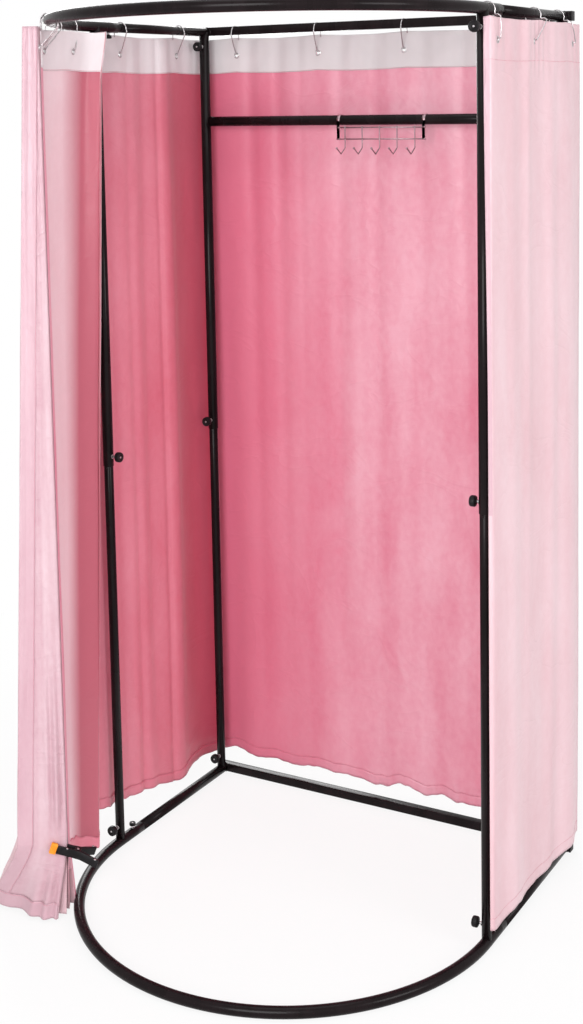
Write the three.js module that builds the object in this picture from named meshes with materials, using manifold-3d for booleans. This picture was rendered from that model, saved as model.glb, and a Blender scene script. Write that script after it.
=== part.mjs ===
// A portable fitting room: a D-shaped tube frame with a drawn curtain.
// Millimetres. X to the right, Y towards the back, Z up from the floor.
// The origin is the middle of the base back bar's underside.

import * as THREE from 'three';
import { mergeVertices } from 'three/addons/utils/BufferGeometryUtils.js';
import Module from 'manifold-3d';

const wasm = await Module();
wasm.setup();

// Driving sizes
const boothWidth = 1000;
const boothHeight = 2000;
const straightRun = 487;
const touch = 0.3;

// Tube and bar stock
const bar = { side: 22, wall: 1.5 };
const tube = { diameter: 25, wall: 1.2 };
const tubeSides = 12;
const slimTube = { diameter: tube.diameter - 2 * (tube.wall + touch), wall: tube.wall };
const stubTube = { diameter: slimTube.diameter - 2 * (slimTube.wall + touch), wall: slimTube.wall };
const weldDepth = bar.wall / 2;

// Frames at the floor and at the top
const tubeInset = 17.5;
const tubeX = boothWidth / 2 - tubeInset;
const baseTubeZ = tube.diameter / 2;
const topTubeZ = boothHeight - tube.diameter / 2;
const hoop = { steps: 30, legLength: 85, spigotLength: 70 };
const stubLength = 80;
const backPostY = -25;
const frontPostY = -straightRun;

// Posts: a slim lower tube that slides in an upper tube and rests on a stop button
const sleeveEndZ = 951;
const insertion = 180;
const stopButton = { diameter: 7, height: 2.2 };

// Round knob screws
const knob = { headDiameter: 24, headThickness: 13, chamfer: 2, stemDiameter: 6, stemClearance: 0.5 };
const knobReach = 37;
const looseKnobReach = 48;
const tightKnobReach = 32;
const topKnobDrop = 50;
const middleKnobRise = 24;
const bottomKnobZ = 52;
const lockKnob = { headDiameter: 16, headThickness: 9, reach: 26, fromLegEnd: 34 };

// End plugs of the two back bars
const plug = { flange: 4, insert: 14 };

// Clothes rail and the hook rack on it
const railDrop = 241;
const railZ = boothHeight - railDrop;
const rack = {
  middleX: 27, strapSpacing: 230, strapWidth: 8, strapThickness: 1.6, strapDrop: 46, backDrop: 6,
  wire: 3, upperWireDrop: 18, hookPitch: 47, hookCount: 5, hookRise: 4, kneeDrop: 67, hookDrop: 81,
  hookDepth: 44, hookTipRise: 14, tipDiameter: 5.5,
};

// Curtain: its walls hang just outside the tubes
const cloth = {
  thickness: 2, topDrop: 38, hemZ: 50, wallGap: 8, eyeletDrop: 35, holeDiameter: 9,
  foldSpacing: 110, sideFold: 5, backFold: 4, foldStep: 28,
};
const clothTopZ = boothHeight - cloth.topDrop;
const clothRadius = tubeX + tube.diameter / 2 + cloth.wallGap;
const clothBackY = bar.side / 2 + cloth.wallGap;

// The fixed cloth turns in past the front post and runs on round the hoop, by angle from the post
// and by share of the turn's depth inside the cloth's own circle
const fixedSpan = 32.4;
const turnDepth = 86;
const turnRows = 10;
const turnSteps = 3;
const topShares = [
  [0, 0], [3.7, 0], [6.2, 0.015], [6.5, 0.45], [6.6, 1], [7.4, 0.96], [9.5, 0.6], [17.8, 0.44], [25.3, 0.27], [fixedSpan, 0],
];
const middleShares = [
  [0, 0], [2.2, 0], [4.2, 0.02], [5.6, 0.22], [6, 0.6], [6.9, 0.56], [11.2, 0.24], [17.5, 0.06], [24.5, 0.04], [fixedSpan, 0],
];
const hemShares = [
  [0, 0], [2.8, 0], [5.7, 0], [8.4, 0.04], [10.4, 0.13], [12, 0.14], [17.9, 0.07], [23.8, 0], [29.2, -0.04], [fixedSpan, 0],
];

// Drawn pleats hang past the hoop, flare down to a knee and sweep back at the hem
const pleat = {
  count: 4, firstAngle: 33.3, pitchAngle: 2.5, thickness: 7, landWidth: 13,
  topDepth: 34, kneeDepth: 110, kneeZ: 189, hemDepth: 167, hemZ: 8, hemSweep: 128, rows: 14, columns: 3,
};

// Curtain hooks of bent wire
const hook = { wire: 2.5, sides: 5, loopRadius: 16, loopSteps: 6, tailDrop: 10, eyeReach: 7, tipRise: 9 };

// Spring clamp that grips the leading pleat above the hem and droops inwards
const clamp = {
  pivotReach: 1.5, pivotZ: 159, droopAngle: 21, height: 18, jawLength: 62, handleLength: 45, handleSpread: 28,
  armThickness: 7, tipThickness: 5, earRadius: 8, earThickness: 4, pinDiameter: 5, padLength: 15, padThickness: 4, padHeight: 24,
};

// Colours and finishes
const finish = (color, roughness, metalness = 0) => new THREE.MeshStandardMaterial({ color, roughness, metalness });
const blackPaint = finish(0x141214, 0.28, 0.1);
const blackPlastic = finish(0x17161a, 0.5);
const brightWire = finish(0xc4c4c8, 0.25, 1);
const pinkSatin = finish(0xe9a3b8, 0.6);
const orangePlastic = finish(0xf0902c, 0.45);

const room = new THREE.Group();

// Helpers: closed meshes to solids and back
function solid(geometry) {
  const bare = geometry.clone();
  bare.deleteAttribute('normal');
  bare.deleteAttribute('uv');
  const merged = mergeVertices(bare, 1e-4);
  const vertProperties = new Float32Array(merged.attributes.position.array);
  const triVerts = new Uint32Array(merged.index.array);
  return new wasm.Manifold(new wasm.Mesh({ numProp: 3, vertProperties, triVerts }));
}

function toGeometry(body) {
  const mesh = body.getMesh();
  const geometry = new THREE.BufferGeometry();
  geometry.setAttribute('position', new THREE.BufferAttribute(mesh.vertProperties, 3));
  geometry.setIndex(new THREE.BufferAttribute(mesh.triVerts, 1));
  return geometry;
}

const join = (...bodies) => bodies.reduce((sum, body) => sum.add(body));
const cut = (body, ...tools) => tools.reduce((rest, tool) => rest.subtract(tool), body);

function place(name, geometry, material, parent = room) {
  const mesh = new THREE.Mesh(geometry, material);
  mesh.name = name;
  parent.add(mesh);
  return mesh;
}

// Sections
const polygon = (radius, sides) => Array.from({ length: sides }, (_, i) => {
  const turn = (2 * Math.PI * i) / sides;
  return new THREE.Vector2(radius * Math.cos(turn), radius * Math.sin(turn));
});

function ringSection({ diameter, wall }) {
  const shape = new THREE.Shape(polygon(diameter / 2, tubeSides));
  if (wall) shape.holes.push(new THREE.Path(polygon(diameter / 2 - wall, tubeSides)));
  return shape;
}

// A straight tube or rod from one height to another, standing along Z
function upright(stock, low, high) {
  const geometry = new THREE.ExtrudeGeometry(ringSection(stock), { depth: high - low, bevelEnabled: false });
  return geometry.translate(0, 0, low);
}

const alongX = (geometry) => geometry.rotateY(Math.PI / 2);
const alongY = (geometry) => geometry.rotateX(-Math.PI / 2);
const rod = (diameter) => ({ diameter, wall: 0 });

// A wire or tube through listed points, one ring at each point
class Bends extends THREE.Curve {
  constructor(points) {
    super();
    this.points = points;
  }

  getPoint(t, target = new THREE.Vector3()) {
    const last = this.points.length - 1;
    const at = Math.min(Math.max(t, 0), 1) * last;
    const from = Math.min(Math.floor(at), last - 1);
    return target.copy(this.points[from]).lerp(this.points[from + 1], at - from);
  }

  getUtoTmapping(u) {
    return u;
  }
}

function bentWire(points, diameter, sides) {
  const shape = new THREE.Shape(polygon(diameter / 2, sides));
  return new THREE.ExtrudeGeometry(shape, { steps: points.length - 1, extrudePath: new Bends(points) });
}

const arcPoints = (radius, from, to, steps) => Array.from({ length: steps + 1 }, (_, i) => {
  const turn = from + ((to - from) * i) / steps;
  return new THREE.Vector2(radius * Math.cos(turn), radius * Math.sin(turn));
});

// Front hoop: a half circle with two straight legs that take the side tubes' spigots
class HalfCircle extends THREE.Curve {
  getPoint(t, target = new THREE.Vector3()) {
    const turn = Math.PI * t;
    return target.set(tubeX * Math.cos(turn), frontPostY - tubeX * Math.sin(turn), 0);
  }
}

function hoopTube(stock) {
  const legEndY = frontPostY + hoop.legLength;
  const path = new THREE.CurvePath();
  path.add(new THREE.LineCurve3(new THREE.Vector3(tubeX, legEndY, 0), new THREE.Vector3(tubeX, frontPostY, 0)));
  path.add(new HalfCircle());
  path.add(new THREE.LineCurve3(new THREE.Vector3(-tubeX, frontPostY, 0), new THREE.Vector3(-tubeX, legEndY, 0)));
  return new THREE.ExtrudeGeometry(ringSection(stock), { steps: hoop.steps, extrudePath: path });
}

// A stub welded on a tube: up from the base frame, down from the top frame
function weldedStub(stock, tubeDiameter, side, y, tubeZ, direction) {
  const tubeRadius = tubeDiameter / 2;
  const root = Math.sqrt(Math.max(tubeRadius ** 2 - (stock.diameter / 2) ** 2, 0)) - weldDepth;
  const tip = tubeRadius + stubLength;
  const geometry = direction > 0 ? upright(stock, root, tip) : upright(stock, -tip, -root);
  return solid(geometry.translate(side * tubeX, y, tubeZ));
}

function stemHole(x, y, z, turn) {
  const drill = upright(rod(knob.stemDiameter + 2 * knob.stemClearance), 0, tube.diameter);
  turn(drill);
  return solid(drill.translate(x, y, z));
}

const lockKnobY = frontPostY + hoop.legLength - lockKnob.fromLegEnd;

function frontHoop(name, tubeZ, stubStock, direction) {
  let body = solid(hoopTube(tube).translate(0, 0, tubeZ));
  for (const side of [-1, 1]) {
    body = join(body, weldedStub(stubStock, tube.diameter, side, frontPostY, tubeZ, direction));
    const turn = (drill) => (direction > 0 ? drill : drill.rotateX(Math.PI));
    body = cut(body, stemHole(side * tubeX, lockKnobY, tubeZ, turn));
  }
  place(name, toGeometry(body), blackPaint);
}

// Rear frame: the square back bar with both side tubes welded to its front face
function hollowBar() {
  const half = bar.side / 2;
  const square = (reach) => [[-1, -1], [1, -1], [1, 1], [-1, 1]].map(([x, y]) => new THREE.Vector2(x * reach, y * reach));
  const shape = new THREE.Shape(square(half));
  shape.holes.push(new THREE.Path(square(half - bar.wall)));
  const length = boothWidth - 2 * (plug.flange + touch);
  return alongX(new THREE.ExtrudeGeometry(shape, { depth: length, bevelEnabled: false }).translate(0, 0, -length / 2));
}

function sideTube(side, bodyDiameter, tubeZ) {
  const rearY = -bar.side / 2 + weldDepth;
  const shoulderY = frontPostY + hoop.legLength + touch;
  const spigotY = frontPostY + hoop.legLength - hoop.spigotLength;
  const bodyRadius = bodyDiameter / 2;
  const spigotRadius = slimTube.diameter / 2;
  const profile = [
    [bodyRadius, rearY], [bodyRadius - tube.wall, rearY], [bodyRadius - tube.wall, shoulderY + tube.wall],
    [spigotRadius - slimTube.wall, shoulderY], [spigotRadius - slimTube.wall, spigotY],
    [spigotRadius, spigotY], [spigotRadius, shoulderY], [bodyRadius, shoulderY], [bodyRadius, rearY],
  ];
  const distinct = profile.filter(([r, y], i) => i === 0 || r !== profile[i - 1][0] || y !== profile[i - 1][1]);
  const points = distinct.map(([r, y]) => new THREE.Vector2(r, y));
  return solid(new THREE.LatheGeometry(points, tubeSides).translate(side * tubeX, 0, tubeZ));
}

function rearFrame(name, barZ, tubeZ, bodyDiameter, stubStock, direction) {
  let body = solid(hollowBar().translate(0, 0, barZ));
  for (const side of [-1, 1]) {
    body = join(body, sideTube(side, bodyDiameter, tubeZ));
    body = join(body, weldedStub(stubStock, bodyDiameter, side, backPostY, tubeZ, direction));
  }
  place(name, toGeometry(body), blackPaint);
}

// Posts
const postPlaces = [
  { name: 'back_left', side: -1, y: backPostY },
  { name: 'back_right', side: 1, y: backPostY },
  { name: 'front_left', side: -1, y: frontPostY },
  { name: 'front_right', side: 1, y: frontPostY },
];

// The room a post's end leaves round the tube that it stands on or carries
function saddle({ side, y }, rearDiameter, tubeZ) {
  if (y === frontPostY) return solid(hoopTube(rod(tube.diameter + 2 * touch)).translate(0, 0, tubeZ));
  const around = alongY(upright(rod(rearDiameter + 2 * touch), -tube.diameter, tube.diameter));
  return solid(around.translate(side * tubeX, y, tubeZ));
}

const stopButtonZ = sleeveEndZ - touch - stopButton.diameter / 2;

const facings = {
  forward: { turn: (g) => g.rotateX(Math.PI / 2), axis: new THREE.Vector3(0, -1, 0) },
  inward: { turn: (g) => g.rotateY(-Math.PI / 2), axis: new THREE.Vector3(-1, 0, 0) },
  right: { turn: (g) => g.rotateY(Math.PI / 2), axis: new THREE.Vector3(1, 0, 0) },
  up: { turn: (g) => g, axis: new THREE.Vector3(0, 0, 1) },
  down: { turn: (g) => g.rotateX(Math.PI), axis: new THREE.Vector3(0, 0, -1) },
};

const knobFacing = {
  top: { back_left: 'forward', back_right: 'forward', front_left: 'forward', front_right: 'forward' },
  middle: { back_left: 'forward', back_right: 'forward', front_left: 'right', front_right: 'inward' },
  bottom: { back_left: 'forward', back_right: 'forward', front_left: 'forward', front_right: 'inward' },
};

function lowerPost(post) {
  const { name, side, y } = post;
  let body = solid(upright(slimTube, baseTubeZ, sleeveEndZ + insertion).translate(side * tubeX, y, 0));
  body = cut(body, saddle(post, tube.diameter, baseTubeZ));
  const { turn } = facings[knobFacing.bottom[name]];
  body = cut(body, stemHole(side * tubeX, y, bottomKnobZ, turn));
  const button = facings.forward.turn(upright(rod(stopButton.diameter), 0, slimTube.diameter / 2 + stopButton.height));
  const bored = upright(rod(slimTube.diameter - slimTube.wall), sleeveEndZ - tube.diameter, sleeveEndZ);
  const head = cut(solid(button.translate(0, 0, stopButtonZ)), solid(bored));
  return join(body, head.translate([side * tubeX, y, 0]));
}

function upperPost(post) {
  const { name, side, y } = post;
  let body = solid(upright(tube, sleeveEndZ, topTubeZ).translate(side * tubeX, y, 0));
  body = cut(body, saddle(post, slimTube.diameter, topTubeZ));
  body = cut(body, stemHole(side * tubeX, y, sleeveEndZ + middleKnobRise, facings[knobFacing.middle[name]].turn));
  return cut(body, stemHole(side * tubeX, y, boothHeight - topKnobDrop, facings[knobFacing.top[name]].turn));
}

// Knob screws: a stem that presses on the inner tube, and a round head
function knobScrew(head, outerDiameter, reach) {
  const stemEnd = outerDiameter / 2 - tube.wall;
  const back = reach - head.headThickness;
  const radius = head.headDiameter / 2;
  const profile = [
    [0, stemEnd], [knob.stemDiameter / 2, stemEnd], [knob.stemDiameter / 2, back], [radius, back],
    [radius, reach - knob.chamfer], [radius - knob.chamfer, reach], [0, reach],
  ].map(([r, along]) => new THREE.Vector2(r, along));
  return new THREE.LatheGeometry(profile, tubeSides).rotateX(Math.PI / 2);
}

function placeKnob(name, head, outerDiameter, reach, facing, x, y, z) {
  const mesh = place(name, facings[facing].turn(knobScrew(head, outerDiameter, reach)), blackPlastic);
  mesh.position.set(x, y, z);
}

const reachOf = (name, level) => {
  if (name !== 'front_right') return knobReach;
  return level === 'top' ? looseKnobReach : tightKnobReach;
};

function placePost(post) {
  const { name, side, y } = post;
  const x = side * tubeX;
  place(`lower_post_${name}`, toGeometry(lowerPost(post)), blackPaint);
  place(`upper_post_${name}`, toGeometry(upperPost(post)), blackPaint);
  placeKnob(`bottom_knob_${name}`, knob, slimTube.diameter, reachOf(name, 'bottom'), knobFacing.bottom[name], x, y, bottomKnobZ);
  const middleZ = sleeveEndZ + middleKnobRise;
  placeKnob(`middle_knob_${name}`, knob, tube.diameter, reachOf(name, 'middle'), knobFacing.middle[name], x, y, middleZ);
  const topZ = boothHeight - topKnobDrop;
  placeKnob(`top_knob_${name}`, knob, tube.diameter, reachOf(name, 'top'), knobFacing.top[name], x, y, topZ);
}

function placeLockKnobs() {
  for (const [side, hand] of [[-1, 'left'], [1, 'right']]) {
    const x = side * tubeX;
    placeKnob(`base_lock_knob_${hand}`, lockKnob, tube.diameter, lockKnob.reach, 'up', x, lockKnobY, baseTubeZ);
    placeKnob(`top_lock_knob_${hand}`, lockKnob, tube.diameter, lockKnob.reach, 'down', x, lockKnobY, topTubeZ);
  }
}

// End plugs
function endPlug(side) {
  const across = bar.side - 2 * (bar.wall + touch);
  const insertLength = plug.insert + plug.flange / 2;
  const flange = new THREE.BoxGeometry(plug.flange, bar.side, bar.side);
  flange.translate(side * (boothWidth / 2 - plug.flange / 2), 0, 0);
  const insert = new THREE.BoxGeometry(insertLength, across, across);
  insert.translate(side * (boothWidth / 2 - plug.flange / 2 - insertLength / 2), 0, 0);
  return toGeometry(join(solid(flange), solid(insert)));
}

function placePlugs() {
  for (const [side, hand] of [[-1, 'left'], [1, 'right']]) {
    place(`base_end_plug_${hand}`, endPlug(side), blackPlastic).position.z = bar.side / 2;
    place(`top_end_plug_${hand}`, endPlug(side), blackPlastic).position.z = boothHeight - bar.side / 2;
  }
}

// Clothes rail between the back posts, its ends cut round to them
function clothesRail() {
  let body = solid(alongX(upright(tube, -tubeX, tubeX)));
  for (const side of [-1, 1]) {
    const post = upright(rod(tube.diameter + 2 * touch), -tube.diameter, tube.diameter);
    body = cut(body, solid(post.translate(side * tubeX, 0, 0)));
  }
  place('clothes_rail', toGeometry(body), blackPaint).position.set(0, backPostY, railZ);
}

// Hook rack: two straps over the rail, two cross wires and a row of hooks
function rackStrap(x) {
  const inner = tube.diameter / 2 + touch;
  const outer = inner + rack.strapThickness;
  const rim = tubeSides;
  const outside = arcPoints(outer, 0, Math.PI, rim);
  const inside = arcPoints(inner / Math.cos(Math.PI / (2 * rim)), Math.PI, 0, rim);
  const limit = (points) => points.map((p) => new THREE.Vector2(THREE.MathUtils.clamp(p.x, -outer, outer), p.y));
  const outline = [
    new THREE.Vector2(outer, -rack.backDrop), ...limit(outside), new THREE.Vector2(-outer, -rack.strapDrop),
    new THREE.Vector2(-inner, -rack.strapDrop), ...limit(inside), new THREE.Vector2(inner, -rack.backDrop),
  ];
  const geometry = new THREE.ExtrudeGeometry(new THREE.Shape(outline), { depth: rack.strapWidth, bevelEnabled: false });
  return geometry.rotateX(Math.PI / 2).rotateZ(Math.PI / 2).translate(x - rack.strapWidth / 2, 0, 0);
}

function rackHook(x, y) {
  const top = new THREE.Vector3(x, y, -rack.upperWireDrop + rack.hookRise);
  const knee = new THREE.Vector3(x, y, -rack.kneeDrop);
  const bottom = new THREE.Vector3(x, y - rack.hookDepth / 2, -rack.hookDrop);
  const tip = new THREE.Vector3(x, y - rack.hookDepth, -rack.hookDrop + rack.hookTipRise);
  const ball = new THREE.SphereGeometry(rack.tipDiameter / 2, tubeSides / 2, tubeSides / 3);
  return [solid(bentWire([top, knee, bottom, tip], rack.wire, tubeSides / 2)), solid(ball.translate(tip.x, tip.y, tip.z))];
}

function hookRack() {
  const frontY = -(tube.diameter / 2 + touch + rack.strapThickness / 2);
  const wireY = frontY - rack.strapThickness / 2 - rack.wire / 2 + weldDepth;
  const reach = rack.strapSpacing / 2 + rack.strapWidth / 2;
  const parts = [-1, 1].map((side) => solid(rackStrap(side * rack.strapSpacing / 2)));
  for (const drop of [rack.upperWireDrop, rack.strapDrop]) {
    const wire = alongX(upright(rod(rack.wire), -reach, reach));
    parts.push(solid(wire.translate(0, wireY, -drop)));
  }
  for (let i = 0; i < rack.hookCount; i += 1) {
    const x = (i - (rack.hookCount - 1) / 2) * rack.hookPitch;
    parts.push(...rackHook(x, wireY - rack.wire + weldDepth));
  }
  place('hook_rack', toGeometry(join(...parts)), brightWire).position.set(rack.middleX, backPostY, railZ);
}

// Curtain walls: a plan path given a thickness and stood up between the hem and the top edge
function clothWall(path, low, high) {
  const half = cloth.thickness / 2;
  const sideOf = (sign) => path.map((p, i) => {
    const before = path[Math.max(i - 1, 0)];
    const after = path[Math.min(i + 1, path.length - 1)];
    const along = after.clone().sub(before).normalize();
    return new THREE.Vector2(p.x - sign * half * along.y, p.y + sign * half * along.x);
  });
  const shape = new THREE.Shape([...sideOf(1), ...sideOf(-1).reverse()]);
  const geometry = new THREE.ExtrudeGeometry(shape, { depth: high - low, bevelEnabled: false });
  return geometry.translate(0, 0, low);
}

// Soft folds stand outwards from the wall's plane and die out at both ends
function foldedLine(from, to, outward, depth) {
  const length = from.distanceTo(to);
  const steps = Math.round(length / cloth.foldStep);
  const folds = Math.round(length / cloth.foldSpacing);
  return Array.from({ length: steps + 1 }, (_, i) => {
    const share = i / steps;
    const wave = (1 - Math.cos(2 * Math.PI * folds * share)) / 2;
    return from.clone().lerp(to, share).addScaledVector(outward, depth * wave);
  });
}

const eyeletZ = clothTopZ - cloth.eyeletDrop;

// Places along the straight walls where hooks hold the cloth, measured from the back bar or its middle
const backHookXs = [-423, -178, 63];
const postHookStep = 24;
const sideHookYs = { left: [-375, -130], right: [frontPostY + postHookStep, -202, -65] };
const fixedHookAngles = [13, 27];
const polar = (angle, radius) => {
  const turn = THREE.MathUtils.degToRad(angle);
  return new THREE.Vector2(-radius * Math.cos(turn), frontPostY - radius * Math.sin(turn));
};

// A group whose X axis points outwards and whose origin is on the tube that carries the cloth
function outwardFrame(x, y, turn) {
  const frame = new THREE.Group();
  frame.position.set(x, y, 0);
  frame.rotation.z = turn;
  room.add(frame);
  return frame;
}

const onSide = (side, y) => outwardFrame(side * tubeX, y, side > 0 ? 0 : Math.PI);
const onBack = (x) => outwardFrame(x, 0, Math.PI / 2);
const onHoop = (angle, turned = 0) => {
  const at = polar(angle, tubeX);
  return outwardFrame(at.x, at.y, Math.PI + turned + THREE.MathUtils.degToRad(angle));
};

function eyeletHole(frame, reach) {
  const drill = alongX(upright(rod(cloth.holeDiameter), reach - cloth.foldSpacing / 2, reach + cloth.foldSpacing / 2));
  drill.translate(0, 0, eyeletZ);
  frame.updateMatrixWorld();
  return solid(drill.applyMatrix4(frame.matrixWorld));
}

// Each hook hangs over its tube and holds the cloth at its eyelet, from inside the booth or from outside
function curtainHook(name, frame, carrier, reach, fromOutside = false) {
  const wireRadius = hook.loopRadius + hook.wire / 2;
  const loop = arcPoints(wireRadius, 0, Math.PI, hook.loopSteps).map((p) => new THREE.Vector3(p.x, 0, carrier.loopZ + p.y));
  const wireZ = eyeletZ + (cloth.holeDiameter / 2) * Math.cos(Math.PI / tubeSides) - touch - hook.wire / 2;
  const away = reach + hook.eyeReach;
  const tailZ = carrier.underZ - hook.tailDrop;
  const points = fromOutside ? [
    new THREE.Vector3(-wireRadius, 0, tailZ),
    ...loop.reverse(),
    new THREE.Vector3(wireRadius, 0, carrier.underZ),
    new THREE.Vector3(away, 0, clothTopZ + hook.wire),
    new THREE.Vector3(away, 0, wireZ + hook.wire),
    new THREE.Vector3(reach + hook.eyeReach / 2, 0, wireZ),
    new THREE.Vector3(reach - hook.eyeReach / 2, 0, wireZ),
    new THREE.Vector3(reach - hook.eyeReach, 0, wireZ + hook.wire),
  ] : [
    new THREE.Vector3(wireRadius, 0, tailZ),
    ...loop,
    new THREE.Vector3(-wireRadius, 0, carrier.underZ - hook.wire),
    new THREE.Vector3(reach - hook.eyeReach, 0, wireZ + hook.wire),
    new THREE.Vector3(reach - hook.eyeReach / 2, 0, wireZ),
    new THREE.Vector3(reach + hook.eyeReach / 2, 0, wireZ),
    new THREE.Vector3(away, 0, wireZ + hook.wire),
    new THREE.Vector3(away, 0, wireZ + hook.tipRise),
  ];
  place(name, bentWire(points, hook.wire, hook.sides), brightWire, frame);
}

const roundCarrier = (diameter) => ({
  loopZ: topTubeZ + diameter / 2 + touch - hook.loopRadius * Math.cos(Math.PI / (2 * hook.loopSteps)),
  underZ: topTubeZ - diameter / 2,
});
const barCarrier = {
  loopZ: boothHeight - Math.sqrt((hook.loopRadius * Math.cos(Math.PI / (2 * hook.loopSteps)) - touch) ** 2 - (bar.side / 2) ** 2),
  underZ: boothHeight - bar.side,
};

// The reach from a tube's middle to the cloth beside it, folds included
const sideReach = clothRadius + cloth.thickness / 2 - tubeX;
const foldAt = (distance, length, depth) => {
  const folds = Math.round(length / cloth.foldSpacing);
  return (depth * (1 - Math.cos((2 * Math.PI * folds * distance) / length))) / 2;
};

function sideWall(side) {
  const x = side * (clothRadius + cloth.thickness / 2);
  const outward = new THREE.Vector2(side, 0);
  return foldedLine(new THREE.Vector2(x, clothBackY), new THREE.Vector2(x, frontPostY), outward, cloth.sideFold);
}

const sideLength = clothBackY - frontPostY;
const sideReachAt = (y) => sideReach + foldAt(clothBackY - y, sideLength, cloth.sideFold);

function placeRightCurtain() {
  let body = solid(clothWall(sideWall(1), cloth.hemZ, clothTopZ));
  sideHookYs.right.forEach((y, i) => {
    const frame = onSide(1, y);
    body = cut(body, eyeletHole(frame, sideReach));
    curtainHook(`curtain_hook_right_${i + 1}`, frame, roundCarrier(y < lockKnobY ? tube.diameter : slimTube.diameter), sideReachAt(y), true);
  });
  place('curtain_right', toGeometry(body), pinkSatin);
}

function placeBackCurtain() {
  const half = clothRadius - cloth.thickness;
  const y = clothBackY + cloth.thickness / 2;
  const line = foldedLine(new THREE.Vector2(-half, y), new THREE.Vector2(half, y), new THREE.Vector2(0, 1), cloth.backFold);
  let body = solid(clothWall(line, cloth.hemZ, clothTopZ));
  backHookXs.forEach((x, i) => {
    const frame = onBack(x);
    body = cut(body, eyeletHole(frame, clothBackY));
    curtainHook(`curtain_hook_back_${i + 1}`, frame, barCarrier, y + foldAt(x + half, 2 * half, cloth.backFold));
  });
  place('curtain_back', toGeometry(body), pinkSatin);
}

// A sheet whose plan line changes from its hem to its top edge, closed all round
function hangingCloth(planAt, columns, rows, low, high) {
  const sheet = new THREE.BoxGeometry(1, 1, 1, columns, 1, rows);
  const vertices = sheet.attributes.position;
  const plans = Array.from({ length: rows + 1 }, (_, row) => planAt(row / rows));
  for (let i = 0; i < vertices.count; i += 1) {
    const column = Math.round((vertices.getX(i) + 0.5) * columns);
    const row = Math.round((vertices.getZ(i) + 0.5) * rows);
    const plan = plans[row];
    const before = plan[Math.max(column - 1, 0)];
    const after = plan[Math.min(column + 1, columns)];
    const along = after.clone().sub(before).normalize();
    const offset = Math.sign(vertices.getY(i)) * (cloth.thickness / 2);
    const x = plan[column].x - along.y * offset;
    const y = plan[column].y + along.x * offset;
    vertices.setXYZ(i, x, y, low + ((high - low) * row) / rows);
  }
  return solid(sheet);
}

// The line that the fixed cloth follows round the post at a share of the height
const clothLine = clothRadius + cloth.thickness / 2;

function turnLine(share) {
  const weights = [2 * (share - 0.5) * (share - 1), 4 * share * (1 - share), 2 * share * (share - 0.5)];
  const mix = (i, part) => weights[0] * hemShares[i][part] + weights[1] * middleShares[i][part] + weights[2] * topShares[i][part];
  const corners = topShares.map((_, i) => polar(mix(i, 0), clothLine - turnDepth * mix(i, 1)));
  return new THREE.SplineCurve(corners).getPoints((corners.length - 1) * turnSteps);
}

const leftPlan = (share) => [...sideWall(-1), ...turnLine(share).slice(1)];

// How far the turned cloth hangs from the hoop's tube at an angle past the fold
function turnReachAt(angle) {
  const line = turnLine(1).map((p) => new THREE.Vector2(-p.x, frontPostY - p.y));
  const turn = THREE.MathUtils.degToRad(angle);
  const after = line.findLastIndex((p) => p.angle() < turn) + 1;
  const [a, b] = [line[after - 1], line[after]];
  return a.clone().lerp(b, (turn - a.angle()) / (b.angle() - a.angle())).length() - tubeX;
}

// The left wall runs forward, turns in past the post and ends at the drawn pleats
function placeLeftCurtain() {
  const columns = leftPlan(1).length - 1;
  let body = hangingCloth(leftPlan, columns, turnRows, cloth.hemZ, clothTopZ);
  sideHookYs.left.forEach((y, i) => {
    const frame = onSide(-1, y);
    body = cut(body, eyeletHole(frame, sideReach));
    curtainHook(`curtain_hook_left_${i + 1}`, frame, roundCarrier(slimTube.diameter), sideReachAt(y));
  });
  fixedHookAngles.forEach((angle, i) => {
    const reach = turnReachAt(angle);
    const frame = onHoop(angle, reach < 0 ? Math.PI : 0);
    body = cut(body, eyeletHole(frame, Math.abs(reach)));
    curtainHook(`curtain_hook_turn_${i + 1}`, frame, roundCarrier(tube.diameter), Math.abs(reach));
  });
  place('curtain_left', toGeometry(body), pinkSatin);
}

// A pleat's depth and sweep at a height
function pleatAt(z) {
  const rise = THREE.MathUtils.clamp((z - pleat.kneeZ) / (clothTopZ - pleat.kneeZ), 0, 1);
  const fall = THREE.MathUtils.clamp((pleat.kneeZ - z) / (pleat.kneeZ - pleat.hemZ), 0, 1);
  const upper = pleat.kneeDepth + (pleat.topDepth - pleat.kneeDepth) * rise;
  return { depth: upper + (pleat.hemDepth - pleat.kneeDepth) * fall, sweep: pleat.hemSweep * fall };
}

// The fold of a pleat, closer rows towards the floor
function pleatFold() {
  const sheet = new THREE.BoxGeometry(1, 1, 1, pleat.columns, 1, pleat.rows);
  const vertices = sheet.attributes.position;
  const inner = sideReach - cloth.thickness / 2;
  for (let i = 0; i < vertices.count; i += 1) {
    const across = vertices.getX(i) + 0.5;
    const share = (vertices.getZ(i) + 0.5) ** 2;
    const z = pleat.hemZ + (clothTopZ - pleat.hemZ) * share;
    const { depth, sweep } = pleatAt(z);
    const side = (vertices.getY(i) + 0.5) * pleat.thickness;
    vertices.setXYZ(i, inner + depth * across, pleat.landWidth / 2 + side - sweep * across, z);
  }
  return solid(sheet);
}

const pleatFrame = (i) => onHoop(pleat.firstAngle + i * pleat.pitchAngle);
const pleatMiddle = (pleat.landWidth + pleat.thickness) / 2;

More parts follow.
